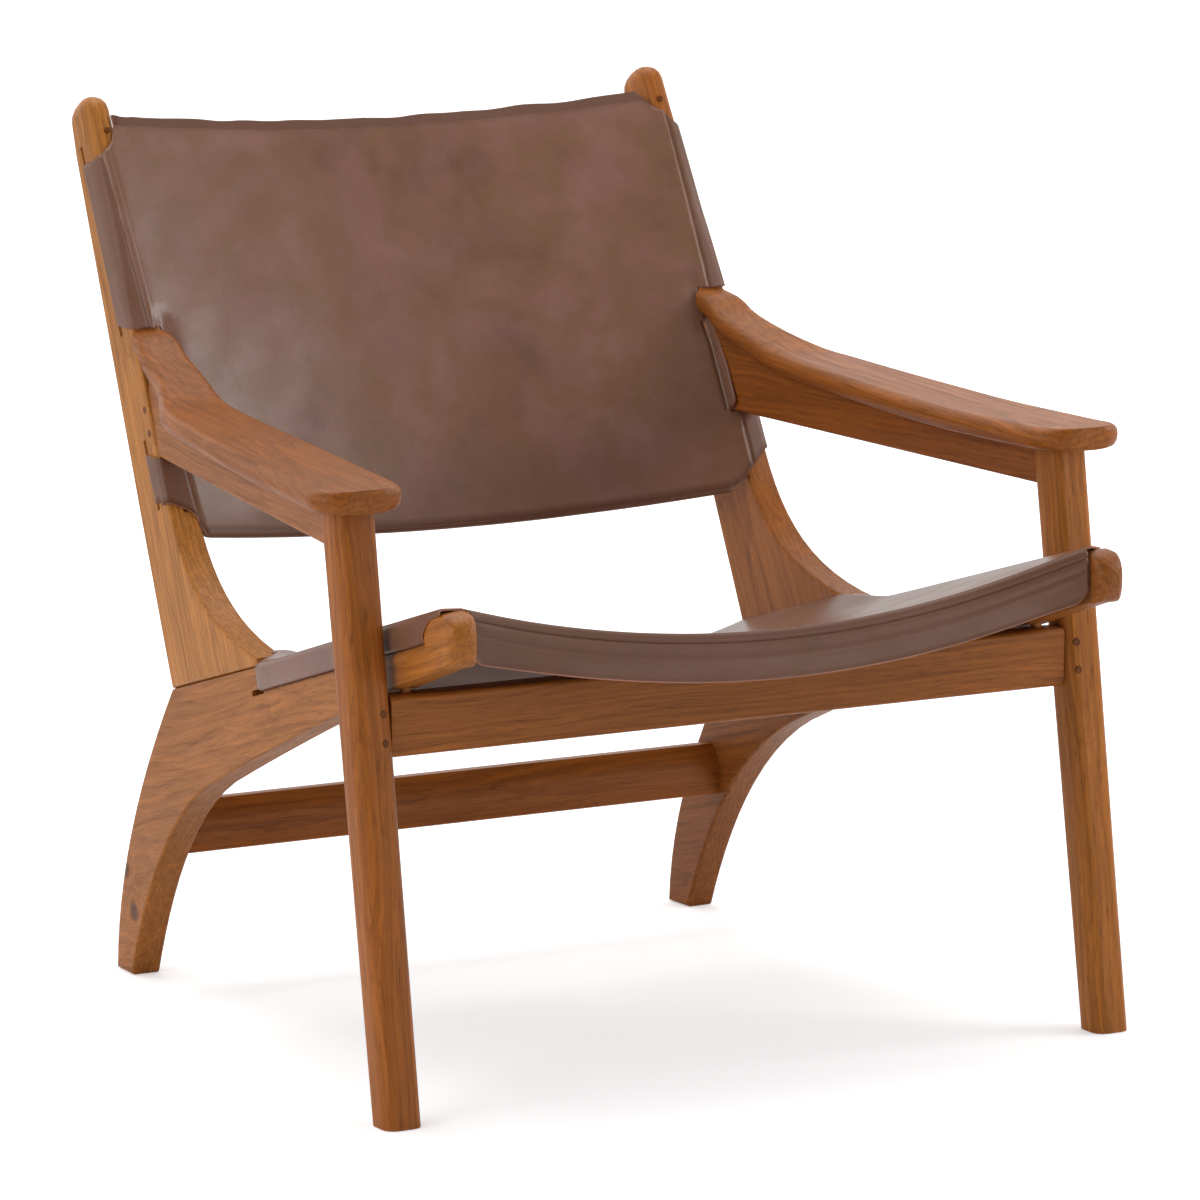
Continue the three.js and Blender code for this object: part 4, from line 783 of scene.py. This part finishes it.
# The notches round the arms, each with its flange
def cutNotches(bm, axes):
    inner = -lie["face"] - back["notchIn"]
    innermost = -lie["face"] - back["paddleIn"]
    low, high = back["notchReach"]
    for side in (1, -1):
        outward = (besideEdge(side, axes, 1, 0, 0) - besideEdge(side, axes, 0, 0, 0)).normalized()
        planes = [((0, 0, back[key] * mm), (0, 0, 1))
                  for key in ("notchLow", "notchHigh", "paddleLow")]
        planes += [(besideEdge(side, axes, out, 0, 0), outward) for out in (inner, innermost)]

        def near(centre, side=side):
            return (side * centre.x > 0 and outOf(side, centre) > back["notchWithin"]
                    and low < centre.z / mm < high)

        def hole(centre, side=side):
            up = centre.z / mm
            if side * centre.x < 0 or not back["notchLow"] < up < back["notchHigh"]:
                return False
            return outOf(side, centre) > (innermost if up > back["paddleLow"] else inner)

        cutSheet(bm, planes, near, hole)
        addFlange(bm, side)


# One end of the top edge is cut on the slant
def cutSlant(bm, axes):
    out, along = back["slantFrom"]
    corner = besideEdge(1, axes, out, along, 0)
    slant = (besideEdge(1, axes, out + back["slant"][0], along + back["slant"][1], 0)
             - corner).normalized()

    def near(centre):
        return (centre.x > 0 and outOf(1, centre) > back["slantWithin"]
                and alongOf(1, axes, centre) > along + back["slantClear"])

    cutSheet(bm, [(corner, slant)], near,
             lambda centre: near(centre) and (centre - corner).dot(slant) > 0)


def makeBackSling():
    axes = lie["post"]
    flapEnd = back["tuckColumns"] + back["flapColumns"]
    halfColumns = flapEnd + back["wrapColumns"] + back["spanColumns"]
    lipRows = back["lipRows"]
    extent = back["high"] - back["low"]
    samples = {}
    for side in (1, -1):
        for i in range(back["samples"] + 1):
            samples[side, i] = backRow(side, back["low"] + extent * i / back["samples"])

    # the point of a column at a place along the post
    def pointAt(side, column, along):
        place = (along - back["low"]) / extent * back["samples"]
        i = min(back["samples"] - 1, max(0, int(place)))
        return samples[side, i][column].lerp(samples[side, i + 1][column], place - i)

    square = squareTo(1, axes)
    upward = (besideEdge(1, axes, 0, 1, 0) - besideEdge(1, axes, 0, 0, 0)).normalized()
    square.x = upward.x = 0

    def halfRow(side, share):
        points = []
        often, height = back["topRagged"]
        for column in range(halfColumns + 1):
            probe = pointAt(side, column, back["high"])
            footOut = outOf(side, pointAt(side, column, back["low"]))
            high = between(back["topCuts"][side], outOf(side, probe))[0]
            low = between(back["footCuts"][side], footOut)[0]
            if column < flapEnd - 2:
                high, low = back["flapHigh"], back["flapLow"]
            if outOf(side, probe) < back["raggedWithin"]:
                high += noise.noise(Vector((probe.x * often, 0.3, 4.0))) * height
            along = low + (high - low) * share
            point = pointAt(side, column, along)
            if column >= back["tuckColumns"] + 3:
                point = point + square * mm * backRelief(side, point, along)
            points.append(point)
        return points

    # turned edges: rows that leave the panel's end and lean back
    def turned(source, sign, length, turn, radius):
        made = []
        start, over = back["lipFlat"]
        often, height = back["lipRagged"]
        for i in range(1, lipRows + 1):
            line = []
            for p in source:
                beside = start - outOf(1 if p.x > 0 else -1, p)
                angle = math.radians(max(1, turn * ease(beside / over)) if sign > 0 else turn)
                run = (radius * angle + length) * i / lipRows
                ragged = noise.noise(Vector((p.x * often, sign, 9.0))) * height * i / lipRows
                forward, rearward = turnDown(run, radius, angle, ragged)
                line.append(p + (upward * sign * forward - square * rearward) * mm)
            made.append(line)
        return made

    rows = []
    for i in range(back["rows"] + 1):
        left, right = halfRow(1, i / back["rows"]), halfRow(-1, i / back["rows"])
        rows.append(left + right[:-1][::-1])
    rows = (turned(rows[0], -1, back["footLip"], back["footTurn"], back["footRound"])[::-1] + rows
            + turned(rows[-1], 1, back["lip"], back["lipTurn"], back["lipRound"]))
    lengths = runLengths([row[halfColumns] for row in rows])
    widths = runLengths(rows[len(rows) // 2])
    topLength, footLength = lengths[-1 - lipRows], lengths[lipRows]

    def fade(distance, key):
        start, over = back[key]
        return ease((distance + start) / over)

    def rubAndShadeAt(column, row):
        above, below = (lengths[row] - topLength) / mm, (footLength - lengths[row]) / mm
        start, over = back["hiddenFade"]
        seen = 1 - ease((below - start) / over)
        side = 1 if column <= halfColumns else -1
        crease = creaseAt(side, min(1, max(0, (row - lipRows) / back["rows"])))
        out = outOf(side, rows[row][column])
        outside = ease((out - crease) / back["outsideFade"] + 0.5)
        # the low share is painted shade, darker towards the foot of the panel
        return max(back["rubTop"] * fade(above, "topFade"), fade(below, "footFade") * seen,
                   back["paintedShadeLow"] * fade(below, "lowFade") * seen, back["rubOutside"] * outside)

    bm = gridSheet(rows, lambda column, row: (widths[column], lengths[row]), rubAndShadeAt)
    flatLayer = bm.loops.layers.uv["flat"]

    # the turned edges end where the corner cuts begin
    def pastEnd(face):
        along = flatMiddle(face, flatLayer)[1]
        if footLength < along < topLength:
            return False
        centre = face.calc_center_median()
        side = 1 if centre.x > 0 else -1
        return outOf(side, centre) > back["lipEnds" if along > topLength else "footEnds"][side]

    bmesh.ops.delete(bm, geom=[face for face in bm.faces if pastEnd(face)], context="FACES")
    cutSlant(bm, axes)
    cutNotches(bm, axes)
    return finishSheet("back_sling_hide", bm, back["thickness"], "back_sling",
                       Vector((0, -1, 0.4)))


makeBackSling()
print("back sling made")


# Seat sling: one panel over both rails, its front edge turned down between them. Lengths are in
# mm, turns in degrees, and 1 and -1 are the chair's left and right
seat = {
    "thickness": 2.2, "hug": 0.3,
    "front": -19.0, "frontFlare": {1: -22.0, -1: -8.0}, "flarePower": 6,
    "cornerFront": {1: -16.0, -1: -40.0}, "flapRear": 322.0, "rear": 495.0,
    # the flap's front cut on the rail's outer face: height from the top line, place along
    "flapCuts": {1: [(-30, -4), (-9, -4), (-2.9, -10)],
                 -1: [(-30, -4.5), (-14.5, -4.3), (-9.1, -10.9), (-3.4, -22.4), (-2.9, -26)]},
    "slotInset": 22.0, "sagFront": 43.0, "sagRear": 23.0, "sagPower": 7,
    "drop": 38.0, "dropFlare": 6.0, "lean": 8.0, "leanFlare": -8.0, "radius": 6.0,
    "rows": 76, "rearRows": 34, "bandRows": 30, "roundRows": 8, "spanColumns": 60,
    "tuckColumns": 5, "flapColumns": 8, "wrapColumns": 14, "edgeSteps": 12,
    "spanPower": 1.35, "rowPower": 1.25,  # columns and rows stand closer at the rail and in front
    "lift": 12.0, "liftFrom": 262.0, "liftTo": 345.0,  # it rides up over the toes of the posts
    "liftPast": 2.0, "liftPower": 3,
    "besidePost": -14.4,                 # where its edge lies against the posts
    "bandGap": 0.6,
    "cornerRound": 15.0,                 # rounding of the band's lower corners
    "waves": [(8, 1.5, 1.3), (25, 0.3, 5.3)], "waveOver": 60, "quietBeside": 12,
    "ridge": (0.7, 1.5, 2.2),            # behind the front edge: height, place and width
    # folds along the band: height, place below the edge and width
    "folds": [(1.5, 6.5, 2.8), (-1.5, 1, 2), (0.6, 16, 3), (-0.5, 11, 2)],
    "bandWave": (14, 0.04, 1.1), "bandFlare": 1.3, "bandFlareFrom": 0.9, "bandQuiet": 25,
    "lipRows": 8, "lip": 9.0, "lipRound": 3.5, "lipTurn": 75,  # the rear edge, turned down
    # how brown it is rubbed, as shares, and where that fades
    "rubBand": 0.55, "rubBend": 0.35, "bendReach": 8, "rubFlap": 0.5, "rubAll": 0.12,
    "bandFade": 12, "flapFade": (20, 60),
}


# Half a wrap of the rail, as (out, high), from the slot to the inner edge
def seatWrap():
    gap = seat["hug"] + seat["thickness"] / 2
    tuck = seat["thickness"] / 2 - seat["slotInset"]
    face = lie["face"] + gap
    edge = lie["edge"]
    inside = slotWay(face, tuck)
    flap = [inside[-1], (face, -edge)]
    wrap = []
    for i in range(seat["edgeSteps"] + 1):
        angle = math.radians(90 * i / seat["edgeSteps"])
        reach = edge + gap
        wrap.append((lie["face"] - edge + reach * math.cos(angle), reach * math.sin(angle) - edge))
    wrap.append((edge - lie["face"], gap))
    flat = [[Vector((a, b, 0)) for a, b in part] for part in (inside, flap, wrap)]
    counts = (seat["tuckColumns"], seat["flapColumns"], seat["wrapColumns"])
    places = [p for part, count in zip(flat, counts) for p in spread(part, count)[:-1]]
    return [(p.x, p.y) for p in places] + [wrap[-1]]


def makeSeatSling():
    axes = lie["rail"]
    pitch = 1 / math.cos(axes[2])
    wrap = seatWrap()
    edgeOut, edgeHigh = wrap[-1]
    inner = -lie["face"] - seat["bandGap"] - seat["thickness"] / 2  # where the band ends
    square = squareTo(1, axes)
    square.x = 0

    def spanShare(i):
        return 1 - (i / seat["spanColumns"]) ** seat["spanPower"]

    def flare(share):
        return abs(share) ** seat["flarePower"]

    def frontAt(side, share):
        return (seat["front"] + seat["frontFlare"][side] * flare(share)) * pitch

    def liftShare(place, end):
        return ease((place - seat["liftFrom"]) / (end - seat["liftFrom"]))

    def overRail(side, out, high, part, behind):
        if high < -lie["edge"] - 0.01:
            front = between(seat["flapCuts"][side], high)[0]
        else:
            lean = (out + lie["face"] - lie["edge"]) / (2 * lie["face"])
            corner = seat["cornerFront"][side] * pitch
            front = (frontAt(side, 1) + (corner - frontAt(side, 1)) * lean) / pitch
        place = (front + (seat["flapRear"] - front) * part
                 + (seat["rear"] - seat["flapRear"]) * behind)
        slope = 0
        if high > -lie["edge"]:
            slope = max(0, lie["face"] + seat["liftPast"] - out) / (2 * lie["face"])
        lift = liftShare(place, seat["liftTo"]) * seat["lift"] * slope
        return besideEdge(side, axes, out, place * pitch, high + lift)

    def betweenRails(side, share, part, behind):
        front, flapRear = frontAt(side, share), seat["flapRear"] * pitch
        rear = seat["rear"] * pitch
        along = front + (flapRear - front) * part + (rear - flapRear) * behind
        toPost = liftShare(along / pitch, seat["flapRear"])
        out = edgeOut + (seat["besidePost"] - edgeOut) * toPost
        lift = (liftShare(along / pitch, seat["liftTo"]) * seat["lift"]
                * share ** seat["liftPower"])
        point = besideEdge(side, axes, out, along, edgeHigh + lift)
        point.x *= share
        way = min(1, max(0, (along - front) / (rear - front)))
        sag = seat["sagFront"] + (seat["sagRear"] - seat["sagFront"]) * way ** seat["sagPower"]
        point = point - square * sag * mm * (1 - share ** 2)
        inward = min(1, (1 - share) * seat["quietBeside"])
        fade = min(1, (along - front) / seat["waveOver"]) * inward
        height, place, width = seat["ridge"]
        ridge = height * bell(along - front - place, width)
        relief = waves(point.x, point.y, seat["waves"]) * fade + ridge * inward
        return point + square * mm * relief

    def rowAt(side, part, behind=0):
        return ([overRail(side, out, high, part, behind) for out, high in wrap]
                + [betweenRails(side, spanShare(i), part, behind)
                   for i in range(1, seat["spanColumns"] + 1)])

    def bandRow(side, i):
        base = rowAt(side, 0)
        edge = base[len(wrap) - 1]
        radius = seat["radius"] - seat["thickness"] / 2
        corner = seat["cornerRound"]
        often, slow, height = seat["bandWave"]
        points = []
        for column, point in enumerate(base):
            share = spanShare(max(0, column - len(wrap) + 1))
            inside = (abs(edge.x) - abs(point.x)) / mm + inner + lie["face"] - lie["edge"]
            near = corner - min(corner, max(0, inside))
            drop = (seat["drop"] + seat["dropFlare"] * flare(share)
                    - (corner - math.sqrt(corner ** 2 - near ** 2)))
            if i < seat["roundRows"]:
                angle = math.radians(90 + 90 * (i + 1) / seat["roundRows"])
                forward, down = radius * math.cos(angle), radius - radius * math.sin(angle)
                bulge = 0
            else:
                part = (i + 1 - seat["roundRows"]) / seat["bandRows"]
                lean = seat["lean"] + seat["leanFlare"] * flare(share)
                run = (drop - radius) * part
                forward, down = -radius - lean * part, radius + run
                bulge = sum(fold * bell(run - place, width) for fold, place, width in seat["folds"])
                bulge += noise.noise(Vector((point.x * often, run * slow, 2.2))) * height * part
                rest = 1 - seat["bandFlareFrom"]
                past = max(0, part - seat["bandFlareFrom"])
                bulge += seat["bandFlare"] * (past / rest) ** 2
            bulge *= min(1, (1 - abs(share)) * seat["bandQuiet"])
            points.append(point + Vector((0, forward - bulge, -down)) * mm)
        return points

    total = seat["roundRows"] + seat["bandRows"]
    parts = [((i / seat["rows"]) ** seat["rowPower"], 0) for i in range(seat["rows"] + 1)]
    parts += [(1, (i + 1) / seat["rearRows"]) for i in range(seat["rearRows"])]
    halves = [(bandRow(1, i), bandRow(-1, i)) for i in range(total)[::-1]]
    halves += [(rowAt(1, *place), rowAt(-1, *place)) for place in parts]
    rows = [left + right[:-1][::-1] for left, right in halves]
    rearward = besideEdge(1, axes, 0, 1, 0) - besideEdge(1, axes, 0, 0, 0)
    rearward.x = 0
    rearward.normalize()
    edge, angle, radius = rows[-1], math.radians(seat["lipTurn"]), seat["lipRound"]
    for i in range(1, seat["lipRows"] + 1):
        run = (radius * angle + seat["lip"]) * i / seat["lipRows"]
        forward, down = turnDown(run, radius, angle)
        rows.append([p + rearward * forward * mm - square * down * mm for p in edge])
    middle = len(wrap) + seat["spanColumns"] - 1
    lengths = runLengths([row[middle] for row in rows])
    widths = runLengths(rows[len(rows) // 2])

    def rubAndShadeAt(column, row):
        behind = (lengths[row] - lengths[total]) / mm
        band = seat["rubBand"] + seat["rubBend"] * max(0, 1 - abs(behind) / seat["bendReach"])
        onRail = min(column, 2 * middle - column) < len(wrap) - 2
        beside = seat["rubFlap"] if onRail else seat["rubAll"]
        start, over = seat["flapFade"]
        return max(band * (1 - ease(behind / seat["bandFade"])),
                   beside * (1 - ease((behind - start) / over)), seat["rubAll"])

    bm = gridSheet(rows, lambda column, row: (widths[column], lengths[row]), rubAndShadeAt)
    flatLayer = bm.loops.layers.uv["flat"]
    bandLength, slitLength = lengths[total], lengths[total + seat["rows"]]
    wrapWidth = widths[len(wrap)]

    # nothing lies over the rails beside the posts, nor in front of them beside the band
    def cutAway(face):
        across, along = flatMiddle(face, flatLayer)
        centre = face.calc_center_median()
        if along > slitLength and not wrapWidth < across < widths[-1] - wrapWidth:
            return True
        return along < bandLength and outOf(1 if centre.x > 0 else -1, centre) > inner

    bmesh.ops.delete(bm, geom=[face for face in bm.faces if cutAway(face)], context="FACES")
    return finishSheet("seat_sling_hide", bm, seat["thickness"], "seat_sling",
                       Vector((0, 0, 1)))


makeSeatSling()
print("seat sling made")
